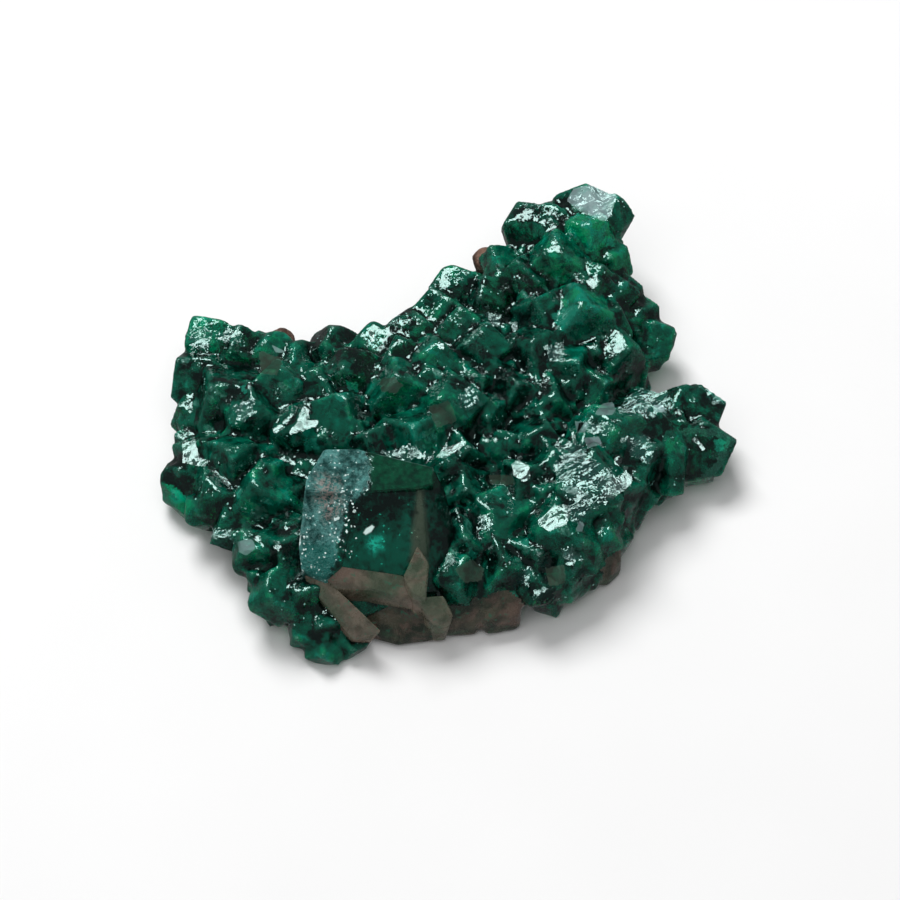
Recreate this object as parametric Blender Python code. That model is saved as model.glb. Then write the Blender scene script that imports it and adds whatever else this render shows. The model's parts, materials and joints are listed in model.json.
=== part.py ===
"""A dioptase specimen: a crust of emerald-green crystals grown together on a thin piece of brown matrix.

Frame: +Z up, the flat broken underside of the matrix on Z = 0, +X to the right and +Y to the back.
All sizes below are in millimetres and are turned into metres where the meshes are made.

The crystals are listed as one eye sees them, from EYE_ELEVATION above the horizon: how far right of the
sight line's middle, how far up from it, and how high their tip stands above the flat underside.
"""

import math
import random

import bmesh
import bpy
from mathutils import Matrix, Vector

MM = 0.001

# The eye that the specimen is measured by
EYE_ELEVATION = math.radians(55.0)
EYE_DISTANCE = 300.0
AIM = Vector((0.31, -3.29, 5.0))

# Dioptase is a six-sided prism closed by three rhombohedron faces, which slope this far from level
RHOMB_TILT = math.radians(51.0)
PRISM_SIDES = 6
RHOMB_SIDES = 3
PRISM_EDGE_TURN = math.radians(30.0)

# Natural crystals are seldom regular: a prism can be this much narrower one way, and each end face can
# lie this share of the radius below the ideal tip
NARROWEST = 0.8
DEEPEST_END_FACE = 0.22

# The crust that the crystals rise from, and the matrix under it
CRUST_BOTTOM = 0.9
CRUST_SHOULDER = 3.0
CRUST_BROW = 4.5
CRUST_TOP = 6.2
CRUST_UNDERCUT = 1.0
CRUST_BROW_INSET = 2.0
CRUST_CROWN = 5.0
MATRIX_TOP = 3.4
MATRIX_INSET = 4.6
MATRIX_CHAMFER = 0.8
GROUND_SIZE = 90.0

# How deep a crystal is rooted, as a height above the underside and as a share of its radius
ROOT_HEIGHT = 2.2
SHORTEST_ROOT = 2.2

# A smaller twin is grown into the shoulder of each crystal as stout and as upright as this
TWIN_FROM = 2.2
TWIN_MOST_LEAN = 32
TWIN_SHARE = 0.66
TWIN_SHARE_SPREAD = (0.85, 1.1)
TWIN_TURN = 50.0
TWIN_LEAN = 14.0
TWIN_ASIDE = (0.75, 0.95)
TWIN_BELOW = (0.45, 0.8)

# Where the listed crystals leave the crust bare, smaller ones stand between their neighbours
FILL_STEP = 2.5
FILL_CLEAR = 2.3
FILL_REACH = 5.2
FILL_SINK = 0.9
FILL_RADIUS = (1.4, 1.9)
FILL_JITTER = 0.6
FILL_SWAY = 0.3
FILL_ONE_SIDED = 0.42
FILL_RIGHT = (-22.0, 22.0)
FILL_UP = (-16.0, 19.0)

# A row that sticks out sideways all along the rim, except where the front edge is broken
RIM_ROW_STEP = 2.9
RIM_ROW_HEIGHTS = (2.5, 4.2)
RIM_ROW_UNEVEN = 0.4
RIM_ROW_LEAN = 70.0
RIM_ROW_LEAN_SPREAD = 10.0
RIM_ROW_TURN = 20.0
RIM_ROW_OUT = 0.9
RIM_ROW_RADIUS = (1.5, 1.9)
BROKEN_HEADINGS = range(255, 315)

# The middle of the crust, and its rim at shoulder height, anticlockwise from the left end: right, up
CRUST_MIDDLE = (0.0, 1.0)
RIM = [
    (-22.4, 4.6),
    (-22.3, -1.4),
    (-21.6, -3.9),
    (-17.8, -6.2),
    (-15.0, -10.8),
    (-13.6, -13.6),
    (-11.2, -16.4),
    (-8.8, -16.6),
    (-4.0, -15.2),
    (4.2, -13.4),
    (8.6, -12.9),
    (11.6, -10.7),
    (14.0, -7.0),
    (18.0, -3.4),
    (21.4, -1.0),
    (21.6, 1.6),
    (16.0, 4.6),
    (17.3, 8.8),
    (15.2, 13.2),
    (13.6, 17.2),
    (10.0, 17.6),
    (5.8, 16.4),
    (-1.2, 12.2),
    (-4.6, 9.2),
    (-12.8, 7.1),
    (-20.6, 7.6),
]

# Each crystal: right, up, tip height, radius, lean from upright and compass heading of the lean in degrees
# (0 leans to the right, 90 to the back, 180 to the left, 270 to the front)
LEFT_END = [
    (-21.6, 11.5, 7.6, 2.2, 38, 140),
    (-17.8, 11.0, 7.8, 2.2, 30, 95),
    (-15.0, 10.2, 6.8, 1.8, 40, 85),
    (-23.2, 8.0, 6.4, 2.1, 45, 165),
    (-20.0, 6.4, 9.2, 3.7, 26, 200),
    (-23.9, 4.9, 5.4, 2.2, 52, 180),
    (-14.6, 7.2, 9.0, 2.3, 18, 100),
    (-16.2, 4.0, 9.4, 2.6, 20, 300),
    (-23.4, 1.2, 4.6, 1.9, 52, 180),
    (-21.8, 0.2, 7.0, 2.3, 28, 215),
    (-18.4, -0.4, 8.6, 2.5, 20, 250),
    (-24.7, -2.8, 3.2, 1.8, 62, 180),
    (-20.4, -3.4, 6.4, 2.6, 32, 230),
    (-23.5, -4.7, 2.4, 1.7, 62, 210),
    (-21.4, -5.8, 2.2, 1.7, 58, 235),
]
LOWER_LEFT = [
    (-16.2, -3.2, 8.2, 2.5, 24, 245),
    (-19.0, -6.6, 5.0, 2.1, 46, 230),
    (-17.2, -8.6, 6.2, 2.3, 38, 230),
    (-14.6, -7.6, 8.0, 2.1, 28, 245),
    (-16.6, -10.9, 4.4, 1.8, 48, 225),
    (-15.2, -12.3, 5.6, 2.6, 38, 240),
    (-15.6, -14.0, 1.8, 1.6, 64, 235),
    (-12.0, -13.2, 7.0, 3.0, 34, 245),
    (-13.0, -15.6, 3.0, 1.9, 54, 235),
    (-10.8, -17.5, 2.2, 1.8, 58, 262),
    (-8.0, -16.9, 1.8, 1.7, 60, 275),
]
MIDDLE = [
    (-12.5, 9.9, 7.2, 1.8, 40, 90),
    (-9.8, 11.2, 7.2, 1.9, 42, 95),
    (-6.6, 11.8, 7.6, 2.0, 42, 100),
    (-11.2, 7.2, 9.0, 2.3, 20, 80),
    (-8.4, 8.6, 8.8, 2.3, 26, 95),
    (-4.4, 9.9, 9.0, 2.3, 26, 110),
    (-8.6, 4.9, 9.8, 2.8, 18, 50),
    (-4.6, 6.2, 10.2, 2.8, 12, 250),
    (-12.4, 2.6, 9.4, 2.3, 20, 280),
    (-7.2, 1.7, 9.8, 2.4, 18, 200),
    (-3.0, 2.3, 10.8, 3.2, 12, 260),
    (0.6, 6.2, 10.2, 2.9, 16, 60),
    (-3.6, 12.4, 8.2, 2.1, 34, 115),
    (-1.9, 14.2, 8.4, 1.9, 36, 120),
    (-0.2, 16.2, 8.2, 2.1, 40, 115),
    (0.4, 12.4, 9.2, 2.3, 26, 110),
    (2.6, 15.0, 9.0, 2.1, 30, 110),
    (-0.6, 9.6, 9.8, 2.2, 20, 40),
    (3.2, 10.6, 9.8, 2.4, 20, 60),
    (3.6, 3.4, 8.8, 2.4, 24, 330),
    (1.8, 0.4, 9.0, 2.5, 24, 320),
]
UPPER_RIGHT = [
    (3.3, 17.8, 8.6, 2.1, 42, 130),
    (5.6, 20.3, 9.0, 2.2, 38, 120),
    (8.3, 20.6, 9.4, 2.0, 36, 90),
    (11.6, 22.2, 10.2, 3.2, 28, 80),
    (14.1, 21.2, 9.2, 2.3, 42, 45),
    (11.6, 18.8, 10.6, 1.8, 20, 270),
    (15.7, 17.6, 8.4, 2.2, 48, 10),
    (16.8, 14.4, 7.4, 2.3, 52, 5),
    (8.6, 16.9, 10.6, 2.3, 16, 240),
    (5.6, 16.2, 10.0, 2.2, 20, 150),
    (13.2, 15.6, 10.0, 2.2, 26, 20),
    (10.8, 12.0, 10.8, 3.2, 12, 300),
    (14.6, 12.0, 9.0, 2.2, 32, 10),
    (17.8, 12.2, 5.8, 2.0, 56, 15),
    (19.4, 10.0, 5.0, 2.2, 56, 0),
    (15.9, 8.8, 8.0, 2.6, 38, 350),
    (18.0, 8.0, 4.0, 1.8, 60, 340),
    (6.8, 12.8, 10.2, 2.3, 18, 200),
    (6.6, 9.0, 9.8, 2.3, 16, 250),
    (5.6, 6.0, 9.4, 2.4, 16, 290),
    (11.2, 7.4, 9.2, 2.5, 22, 320),
    (16.7, 6.4, 4.4, 1.9, 56, 330),
    (13.6, 5.6, 7.6, 2.0, 38, 330),
    (8.6, 4.6, 8.6, 2.2, 22, 310),
]
RIGHT_ARM = [
    (16.2, 4.4, 8.6, 2.7, 32, 60),
    (23.5, 4.3, 5.4, 2.5, 66, 10),
    (24.2, 0.8, 4.8, 2.8, 66, 355),
    (22.0, -2.2, 2.8, 2.0, 64, 310),
    (19.4, 4.4, 6.6, 2.2, 48, 60),
    (14.2, 2.2, 10.2, 2.8, 14, 300),
    (11.4, 3.0, 9.8, 2.3, 16, 120),
    (19.0, -3.4, 3.4, 2.0, 56, 305),
    (16.8, -5.4, 3.2, 2.1, 56, 310),
    (17.4, 0.2, 8.2, 2.5, 34, 330),
    (14.8, -3.2, 7.8, 2.7, 34, 300),
    (12.0, -1.8, 10.0, 2.9, 12, 300),
    (9.2, -5.4, 9.2, 2.6, 14, 250),
    (6.0, -1.4, 9.6, 2.3, 16, 220),
    (8.8, 0.6, 9.2, 2.3, 18, 100),
    (8.2, 2.4, 8.8, 2.1, 20, 20),
]
FRONT = [
    (1.4, -3.4, 8.6, 2.5, 28, 290),
    (4.8, -5.6, 8.2, 2.9, 30, 280),
    (1.4, -7.2, 8.0, 2.5, 30, 280),
    (7.4, -8.8, 7.6, 2.5, 32, 280),
    (10.8, -8.6, 6.8, 2.4, 38, 290),
    (13.4, -7.2, 6.0, 2.2, 44, 305),
    (14.8, -8.0, 3.4, 1.8, 56, 310),
    (12.6, -10.4, 3.2, 1.8, 58, 310),
    (10.8, -11.8, 3.2, 1.8, 56, 300),
    (8.6, -13.2, 2.4, 1.8, 56, 280),
    (4.4, -9.9, 6.8, 2.5, 36, 275),
    (0.6, -10.9, 6.4, 2.4, 38, 275),
    (7.6, -11.6, 5.4, 2.1, 42, 280),
    (4.8, -12.9, 3.4, 1.9, 52, 268),
    (1.6, -13.6, 3.2, 1.9, 54, 264),
    (-2.2, -14.6, 2.8, 1.8, 56, 262),
    (-5.2, -15.9, 1.7, 1.7, 60, 262),
]
CRYSTALS = LEFT_END + LOWER_LEFT + MIDDLE + UPPER_RIGHT + RIGHT_ARM + FRONT

# The great crystal at the front left: the middle of its top face, the block that it is cut from, and its
# flat faces as heading, steepness from level and distance from that middle
GREAT_MIDDLE = (-7.0, -4.9, 10.6)
GREAT_BLOCK = 26.0
GREAT_CLEAR = 5.4
GREAT_FACES = [
    (278, 12, 0.0),
    (284, 78, 4.5),
    (243, 78, 5.3),
    (177, 82, 5.0),
    (150, 86, 6.1),
    (87, 75, 5.8),
    (353, 86, 4.3),
    (0, 180, 10.0),
]

# Lumps of matrix that show past the crystals: right, up, height and radius
KNOB_ROUGHNESS = (0.85, 1.12)
MATRIX_KNOBS = [
    (2.4, 16.0, 5.6, 2.0),
    (-13.6, 9.0, 4.6, 1.8),
    (12.2, -9.6, 2.4, 1.8),
]


def seen_at(right, up, height):
    """The point of that height, in mm, on the sight line that passes right and up of the aim."""
    back = Vector((0, -math.cos(EYE_ELEVATION), math.sin(EYE_ELEVATION)))
    upward = Vector((0, math.sin(EYE_ELEVATION), math.cos(EYE_ELEVATION)))
    eye = AIM + back * EYE_DISTANCE
    through = AIM + Vector((right, 0, 0)) + upward * up
    ray = through - eye
    return eye + ray * ((height - eye.z) / ray.z)


def direction(heading, tilt):
    """The unit vector that tilts away from +Z by tilt degrees towards a compass heading."""
    h = math.radians(heading)
    t = math.radians(tilt)
    return Vector((math.sin(t) * math.cos(h), math.sin(t) * math.sin(h), math.cos(t)))


def add_object(name, bm, collection):
    """Makes an object, in metres, of a mesh in millimetres."""
    bmesh.ops.recalc_face_normals(bm, faces=bm.faces)
    bmesh.ops.scale(bm, vec=(MM, MM, MM), verts=bm.verts)
    mesh = bpy.data.meshes.new(name)
    bm.to_mesh(mesh)
    bm.free()
    made = bpy.data.objects.new(name, mesh)
    collection.objects.link(made)
    return made


def slice_off(bm, point, normal):
    """Cuts a convex solid by a plane and closes the cut with one flat face."""
    geometry = bm.verts[:] + bm.edges[:] + bm.faces[:]
    bmesh.ops.bisect_plane(bm, geom=geometry, plane_co=point, plane_no=normal, clear_outer=True)
    bmesh.ops.holes_fill(bm, edges=bm.edges, sides=0)


def crystal_solid(tip, axis, radius, root, rng):
    """A dioptase crystal with its tip at a point and its root that far down its axis."""
    bm = bmesh.new()
    rise = radius * math.tan(RHOMB_TILT)
    depth = root + rise
    bmesh.ops.create_cone(
        bm, cap_ends=True, segments=PRISM_SIDES, radius1=radius, radius2=radius, depth=depth
    )
    bmesh.ops.scale(bm, vec=(1, rng.uniform(NARROWEST, 1), 1), verts=bm.verts)
    bmesh.ops.translate(bm, vec=(0, 0, rise - depth / 2), verts=bm.verts)
    for side in range(RHOMB_SIDES):
        turn = PRISM_EDGE_TURN + 2 * math.pi * side / RHOMB_SIDES
        outward = Vector((math.cos(turn), math.sin(turn), 0))
        normal = outward * math.sin(RHOMB_TILT) + Vector((0, 0, math.cos(RHOMB_TILT)))
        set_back = radius * rng.uniform(0, DEEPEST_END_FACE)
        slice_off(bm, normal * -set_back, normal)
    turned = Matrix.Rotation(rng.uniform(0, 2 * math.pi), 4, "Z")
    leaned = Vector((0, 0, 1)).rotation_difference(axis).to_matrix().to_4x4()
    bmesh.ops.transform(bm, matrix=Matrix.Translation(tip) @ leaned @ turned, verts=bm.verts)
    return bm


def add_crystal(name, tip, axis, radius, rng, collection):
    """A crystal that reaches down its axis into the crust."""
    down = (tip.z - ROOT_HEIGHT) / max(axis.z, 0.5)
    root = max(down, SHORTEST_ROOT * radius)
    return add_object(name, crystal_solid(tip, axis, radius, root, rng), collection)


def add_listed_crystals(collection):
    """The listed crystals, the stouter ones each with a smaller twin grown into its shoulder."""
    for number, (right, up, height, radius, lean, heading) in enumerate(CRYSTALS):
        rng = random.Random(number)
        tip = seen_at(right, up, height)
        axis = direction(heading, lean)
        add_crystal(f"crystal_{number:03d}", tip, axis, radius, rng, collection)
        if radius < TWIN_FROM or lean > TWIN_MOST_LEAN:
            continue
        twin_heading = heading + rng.uniform(-TWIN_TURN, TWIN_TURN)
        twin_axis = direction(twin_heading, lean + rng.uniform(-TWIN_LEAN, TWIN_LEAN))
        twin_radius = radius * TWIN_SHARE * rng.uniform(*TWIN_SHARE_SPREAD)
        aside = direction(rng.uniform(0, 360), 90) * radius * rng.uniform(*TWIN_ASIDE)
        twin_tip = tip + aside - axis * radius * rng.uniform(*TWIN_BELOW)
        add_crystal(f"twin_{number:03d}", twin_tip, twin_axis, twin_radius, rng, collection)


def neighbours(right, up):
    """The listed crystals within reach, each with its distance, nearest first."""
    place = Vector((right, up))
    found = []
    for crystal in CRYSTALS:
        distance = (Vector(crystal[:2]) - place).length
        if distance < FILL_REACH:
            found.append((distance, crystal))
    return sorted(found)


def is_bare(right, up, near):
    """Whether a place between listed crystals is free, and they stand all round it."""
    place = Vector((right, up))
    if len(near) < 3 or near[0][0] < FILL_CLEAR:
        return False
    if (Vector(GREAT_MIDDLE[:2]) - place).length < GREAT_CLEAR:
        return False
    pull = Vector((0, 0))
    for _, crystal in near:
        pull += (Vector(crystal[:2]) - place).normalized()
    return pull.length / len(near) < FILL_ONE_SIDED


def add_filling_crystals(collection):
    """Smaller crystals between the listed ones, as high and as inclined as their neighbours."""
    rng = random.Random(31)
    placed = []
    right = FILL_RIGHT[0]
    while right < FILL_RIGHT[1]:
        up = FILL_UP[0]
        while up < FILL_UP[1]:
            jitter = Vector((rng.uniform(-FILL_JITTER, FILL_JITTER), rng.uniform(-FILL_JITTER, FILL_JITTER)))
            here = Vector((right, up)) + jitter
            near = neighbours(*here)
            crowded = any((here - other).length < FILL_CLEAR for other in placed)
            if is_bare(*here, near) and not crowded:
                placed.append(here)
                height = sum(crystal[2] for _, crystal in near) / len(near) - FILL_SINK
                axis = Vector((0, 0, 0))
                for distance, crystal in near:
                    axis += direction(crystal[5], crystal[4]) / distance
                sway = direction(rng.uniform(0, 360), 90) * FILL_SWAY
                axis = (axis.normalized() + sway).normalized()
                radius = rng.uniform(*FILL_RADIUS)
                tip = seen_at(*here, height)
                add_crystal(f"filling_{len(placed):03d}", tip, axis, radius, rng, collection)
            up += FILL_STEP
        right += FILL_STEP


def add_rim_row(collection):
    """The crystals that stick out sideways all along the rim, except on the broken front edge."""
    points = rim_points(0.0)
    for number, (start, end) in enumerate(zip(points, points[1:] + points[:1])):
        along = end - start
        heading = math.degrees(math.atan2(-along.x, along.y))
        if round(heading) % 360 in BROKEN_HEADINGS:
            continue
        rng = random.Random(number)
        count = max(1, round(along.length / RIM_ROW_STEP))
        for k in range(count):
            place = start + along * ((k + 0.5) / count)
            lean = RIM_ROW_LEAN + rng.uniform(-RIM_ROW_LEAN_SPREAD, RIM_ROW_LEAN_SPREAD)
            height = RIM_ROW_HEIGHTS[k % len(RIM_ROW_HEIGHTS)]
            height += rng.uniform(-RIM_ROW_UNEVEN, RIM_ROW_UNEVEN)
            tip = Vector((place.x, place.y, height)) + direction(heading, 90) * RIM_ROW_OUT
            axis = direction(heading + rng.uniform(-RIM_ROW_TURN, RIM_ROW_TURN), lean)
            radius = rng.uniform(*RIM_ROW_RADIUS)
            add_crystal(f"rim_{number:02d}_{k}", tip, axis, radius, rng, collection)


def add_great_crystal(collection):
    """The one large crystal at the front left, a block with every flat face cut on it."""
    bm = bmesh.new()
    bmesh.ops.create_cube(bm, size=GREAT_BLOCK)
    middle = seen_at(*GREAT_MIDDLE)
    bmesh.ops.translate(bm, vec=middle, verts=bm.verts)
    for heading, steepness, distance in GREAT_FACES:
        normal = direction(heading, steepness)
        slice_off(bm, middle + normal * distance, normal)
    return add_object("great_crystal", bm, collection)


def rim_points(inset):
    """The rim in plan, in mm, drawn in by an inset towards the middle of the crust."""
    points = [seen_at(right, up, CRUST_SHOULDER).to_2d() for right, up in RIM]
    middle = seen_at(*CRUST_MIDDLE, CRUST_SHOULDER).to_2d()
    return [point + (middle - point).normalized() * inset for point in points]


def slab(levels):
    """A closed slab: the rim drawn in by each level's inset and stacked at its height."""
    bm = bmesh.new()
    inset, height = levels[0]
    ring = [bm.verts.new((point.x, point.y, height)) for point in rim_points(inset)]
    face = bm.faces.new(ring)
    for inset, height in levels[1:]:
        grown = bmesh.ops.extrude_discrete_faces(bm, faces=[face])
        face = grown["faces"][0]
        for vert, point in zip(face.verts, rim_points(inset)):
            vert.co = Vector((point.x, point.y, height))
    bmesh.ops.holes_fill(bm, edges=bm.edges, sides=0)
    bmesh.ops.triangulate(bm, faces=bm.faces)
    return bm


def add_crust(collection):
    """The crust of massive dioptase that all the crystals rise from."""
    levels = [
        (CRUST_UNDERCUT, CRUST_BOTTOM),
        (0.0, CRUST_SHOULDER),
        (CRUST_BROW_INSET, CRUST_BROW),
        (CRUST_CROWN, CRUST_TOP),
    ]
    return add_object("crust", slab(levels), collection)


def add_matrix(collection):
    """The thin brown matrix under the crust, with its flat broken underside on Z = 0."""
    levels = [
        (MATRIX_INSET + MATRIX_CHAMFER, 0.0),
        (MATRIX_INSET, MATRIX_CHAMFER),
        (MATRIX_INSET + MATRIX_CHAMFER, MATRIX_TOP),
    ]
    add_object("matrix", slab(levels), collection)


def add_matrix_knobs(collection):
    """The lumps of matrix that show between the crystals."""
    rng = random.Random(7)
    for number, (right, up, height, radius) in enumerate(MATRIX_KNOBS):
        bm = bmesh.new()
        bmesh.ops.create_icosphere(bm, subdivisions=1, radius=radius)
        for vert in bm.verts:
            vert.co *= rng.uniform(*KNOB_ROUGHNESS)
        bmesh.ops.translate(bm, vec=seen_at(right, up, height), verts=bm.verts)
        add_object(f"matrix_knob_{number}", bm, collection)


def add_ground(collection):
    """The half space under the flat underside, as a cutter."""
    bm = bmesh.new()
    bmesh.ops.create_cube(bm, size=GROUND_SIZE)
    bmesh.ops.translate(bm, vec=(0, 0, -GROUND_SIZE / 2), verts=bm.verts)
    return add_object("ground_cutter", bm, collection)


def emerald_crystal():
    """Clear emerald-green dioptase."""
    material = bpy.data.materials.new("dioptase")
    material.use_nodes = True
    shader = material.node_tree.nodes["Principled BSDF"]
    shader.inputs["Base Color"].default_value = (0.0, 0.16, 0.085, 1.0)
    shader.inputs["Roughness"].default_value = 0.08
    shader.inputs["Metallic"].default_value = 0.0
    shader.inputs["IOR"].default_value = 1.67
    return material


def new_collection(name):
    made = bpy.data.collections.new(name)
    bpy.context.scene.collection.children.link(made)
    return made


def clear_scene():
    for old in list(bpy.data.objects):
        bpy.data.objects.remove(old)
    for old in list(bpy.data.collections):
        bpy.data.collections.remove(old)


def joined(cluster, grown, ground):
    """The outer skin of everything that has grown together, cut off flat underneath."""
    join = cluster.modifiers.new("grow together", "BOOLEAN")
    join.operation = "UNION"
    join.solver = "EXACT"
    join.operand_type = "COLLECTION"
    join.collection = grown
    flat = cluster.modifiers.new("flat underside", "BOOLEAN")
    flat.operation = "DIFFERENCE"
    flat.solver = "EXACT"
    flat.object = ground
    bpy.context.view_layer.update()
    evaluated = cluster.evaluated_get(bpy.context.evaluated_depsgraph_get())
    bm = bmesh.new()
    bm.from_mesh(evaluated.data)
    return bm


def shells(bm):
    """The connected shells of a mesh, each as its vertices, largest first."""
    left = set(bm.verts)
    found = []
    while left:
        shell = {left.pop()}
        edge_of_shell = list(shell)
        while edge_of_shell:
            vert = edge_of_shell.pop()
            for edge in vert.link_edges:
                other = edge.other_vert(vert)
                if other in left:
                    left.remove(other)
                    shell.add(other)
                    edge_of_shell.append(other)
        found.append(shell)
    return sorted(found, key=len, reverse=True)


def drop_hidden_pockets(bm):
    """Fills the small closed pockets that are left between crystals inside the solid."""
    for pocket in shells(bm)[1:]:
        bmesh.ops.delete(bm, geom=list(pocket), context="VERTS")


def centre_on_origin(bm):
    """Moves the mesh so that the middle of its extent is over the origin in plan."""
    xs = [vert.co.x for vert in bm.verts]
    ys = [vert.co.y for vert in bm.verts]
    middle = Vector(((min(xs) + max(xs)) / 2, (min(ys) + max(ys)) / 2, 0))
    bmesh.ops.translate(bm, vec=-middle, verts=bm.verts)


def build():
    clear_scene()
    parts = new_collection("dioptase")
    grown = new_collection("grown_together")
    cutters = new_collection("cutters")
    cluster = add_crust(parts)
    cluster.name = "dioptase_cluster"
    add_matrix(grown)
    add_matrix_knobs(grown)
    add_listed_crystals(grown)
    add_filling_crystals(grown)
    add_rim_row(grown)
    add_great_crystal(grown)
    bm = joined(cluster, grown, add_ground(cutters))
    drop_hidden_pockets(bm)
    centre_on_origin(bm)
    cluster.modifiers.clear()
    bm.to_mesh(cluster.data)
    bm.free()
    for helper in list(grown.objects) + list(cutters.objects):
        bpy.data.objects.remove(helper)
    cluster.data.materials.append(emerald_crystal())


build()
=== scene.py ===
"""The looks of the dioptase cluster: the same crystals as the solid, with their growth steps, the small ones
between them, and their clear, frosted, broken and earthy surfaces.

Sizes are in millimetres and become metres where the mesh is finished. +Z is up, +X right, +Y back, and the
flat underside lies on Z = 0.
"""

import itertools
import json
import math
import random
from collections import namedtuple

import bmesh
import bpy
from mathutils import Matrix, Vector
from mathutils.bvhtree import BVHTree
from mathutils.kdtree import KDTree

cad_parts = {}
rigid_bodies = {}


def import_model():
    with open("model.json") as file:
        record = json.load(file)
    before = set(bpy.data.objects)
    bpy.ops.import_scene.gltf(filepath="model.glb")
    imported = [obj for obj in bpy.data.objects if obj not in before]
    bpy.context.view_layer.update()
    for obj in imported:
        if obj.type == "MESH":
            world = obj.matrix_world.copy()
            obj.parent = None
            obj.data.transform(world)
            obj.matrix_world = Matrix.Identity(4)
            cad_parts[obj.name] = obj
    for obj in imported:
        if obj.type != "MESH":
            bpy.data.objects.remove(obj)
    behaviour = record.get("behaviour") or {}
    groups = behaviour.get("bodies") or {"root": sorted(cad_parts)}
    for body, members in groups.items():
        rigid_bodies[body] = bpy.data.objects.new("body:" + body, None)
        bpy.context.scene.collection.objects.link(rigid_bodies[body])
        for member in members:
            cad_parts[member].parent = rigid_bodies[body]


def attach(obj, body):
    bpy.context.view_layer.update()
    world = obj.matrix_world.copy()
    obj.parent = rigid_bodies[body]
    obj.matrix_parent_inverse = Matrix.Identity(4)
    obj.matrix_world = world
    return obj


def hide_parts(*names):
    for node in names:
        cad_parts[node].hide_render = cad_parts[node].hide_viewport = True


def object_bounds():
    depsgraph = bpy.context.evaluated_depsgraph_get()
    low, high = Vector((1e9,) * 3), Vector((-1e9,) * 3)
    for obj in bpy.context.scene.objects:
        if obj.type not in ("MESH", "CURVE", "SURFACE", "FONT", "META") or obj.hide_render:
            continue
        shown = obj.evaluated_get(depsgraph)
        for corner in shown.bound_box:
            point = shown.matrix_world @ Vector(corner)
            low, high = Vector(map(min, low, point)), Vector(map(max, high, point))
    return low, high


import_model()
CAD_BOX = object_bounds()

MM = 0.001
UPRIGHT = Vector((0, 0, 1))

# The eye that the specimen is measured and rendered by. A place in the picture is given in millimetres right
# and up of the aim, across the line from the eye
EYE_ELEVATION = math.radians(55.0)
EYE_DISTANCE = 300.0
AIM = Vector((0.31, -3.29, 5.0))
TOWARDS_EYE = Vector((0, -math.cos(EYE_ELEVATION), math.sin(EYE_ELEVATION)))
PICTURE_UP = Vector((0, math.sin(EYE_ELEVATION), math.cos(EYE_ELEVATION)))
EYE = AIM + TOWARDS_EYE * EYE_DISTANCE
FRAME_WIDTH = 75.0
SENSOR_WIDTH = 36.0
CLIP_START = 10.0

# Dioptase is a six-sided prism closed by three rhombohedron faces, which slope this far from level
RHOMB_TILT = math.radians(51.0)
PRISM_SIDES = 6
RHOMB_SIDES = 3
PRISM_EDGE_TURN = math.radians(30.0)
NARROWEST = 0.8
SPARE_RISE = 0.3
DEEPEST_END_FACE = 0.22

# The worn edges of crystals, as a share of their radius and at most this wide; the larger ones are rounded
EDGE_SHARE = 0.17
WIDEST_EDGE = 0.42
ROUNDED_FROM = 1.2

# Most upright crystals end bluntly: the share of the radius that is lost, how far the blunt face tilts, and
# how far a crystal with a blunt end leans at most
BLUNT_SHARE = (0.15, 0.5)
BLUNT_TILT = 24.0
BLUNT_MOST_LEAN = math.radians(46.0)

# How far an end face strays from the ideal slope, and the chips off each tip. A crystal's own place is the
# seed of these chances, with its right part times this spread
WILD_SPREAD = 31
STRAY_SLOPE = math.radians(7.0)
CHIP_COUNT = 2
CHIP_TILT = (28.0, 80.0)
CHIP_CENTRE = 0.45
CHIP_REACH = (0.74, 0.95)

# The crust of massive dioptase that the crystals rise from, and the thin brown matrix under it, with its flat
# broken underside on Z = 0: how far the rim is drawn in at each level, and how high the level is
CRUST_LEVELS = [(1.0, 0.9), (0.2, 3.0), (2.0, 4.2), (5.0, 5.2), (8.5, 5.8)]
MATRIX_LEVELS = [(5.4, 0.0), (4.6, 0.8), (5.4, 3.4)]
SHOULDER_HEIGHT = 3.0

# The block that cuts the underside off flat
GROUND_SIZE = 90.0

# How far down the crystals reach: to this height, though never less than this many radii, and no further than
# one that rises this steeply
ROOT_HEIGHT = 2.2
SHORTEST_ROOT = 2.2
FLATTEST_RISE = 0.5

# The crystals that stand inside the cluster have swollen together
SWOLLEN_FROM = 6.6
SWOLLEN_UP_TO = 19.0
SWELL = 1.16

# The seed of the shades of solids that are given none
SHADE_SEED = 5

# A smaller twin is grown into the shoulder of each crystal as stout and as upright as this
TWIN_FROM = 2.2
TWIN_MOST_LEAN = 32
TWIN_SHARE = 0.66
TWIN_SHARE_SPREAD = (0.85, 1.1)
TWIN_TURN = 50.0
TWIN_LEAN = 14.0
TWIN_ASIDE = (0.75, 0.95)
TWIN_BELOW = (0.45, 0.8)

# Growth steps: slimmer crystals that share a large one's axis and stand a little proud of its faces
STEPS_FROM = 1.5
STEP_COUNT = (1, 3)
STEP_SHARE = (0.4, 0.7)
STEP_ASIDE = (0.3, 0.7)
STEP_BELOW = (0.62, 0.98)
STEP_SWAY = 0.06

# Where the listed crystals leave the crust bare, smaller ones stand between their neighbours. Places for them
# are tried on a grid of columns and rows, from its first corner (right, up). A place is bare if no crystal is
# closer than the clear distance and at least a few stand round it within reach, not all to one side
FILL_SEED = 31
FILL_FIRST = (-22.0, -16.0)
FILL_COLUMNS = 18
FILL_ROWS = 14
FILL_STEP = 2.5
FILL_JITTER = 0.6
FILL_CLEAR = 2.3
FILL_REACH = 5.2
FEWEST_NEIGHBOURS = 3
FILL_ONE_SIDED = 0.42
FILL_SINK = 0.9
FILL_RADIUS = (1.4, 1.9)
FILL_SWAY = 0.3

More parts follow.
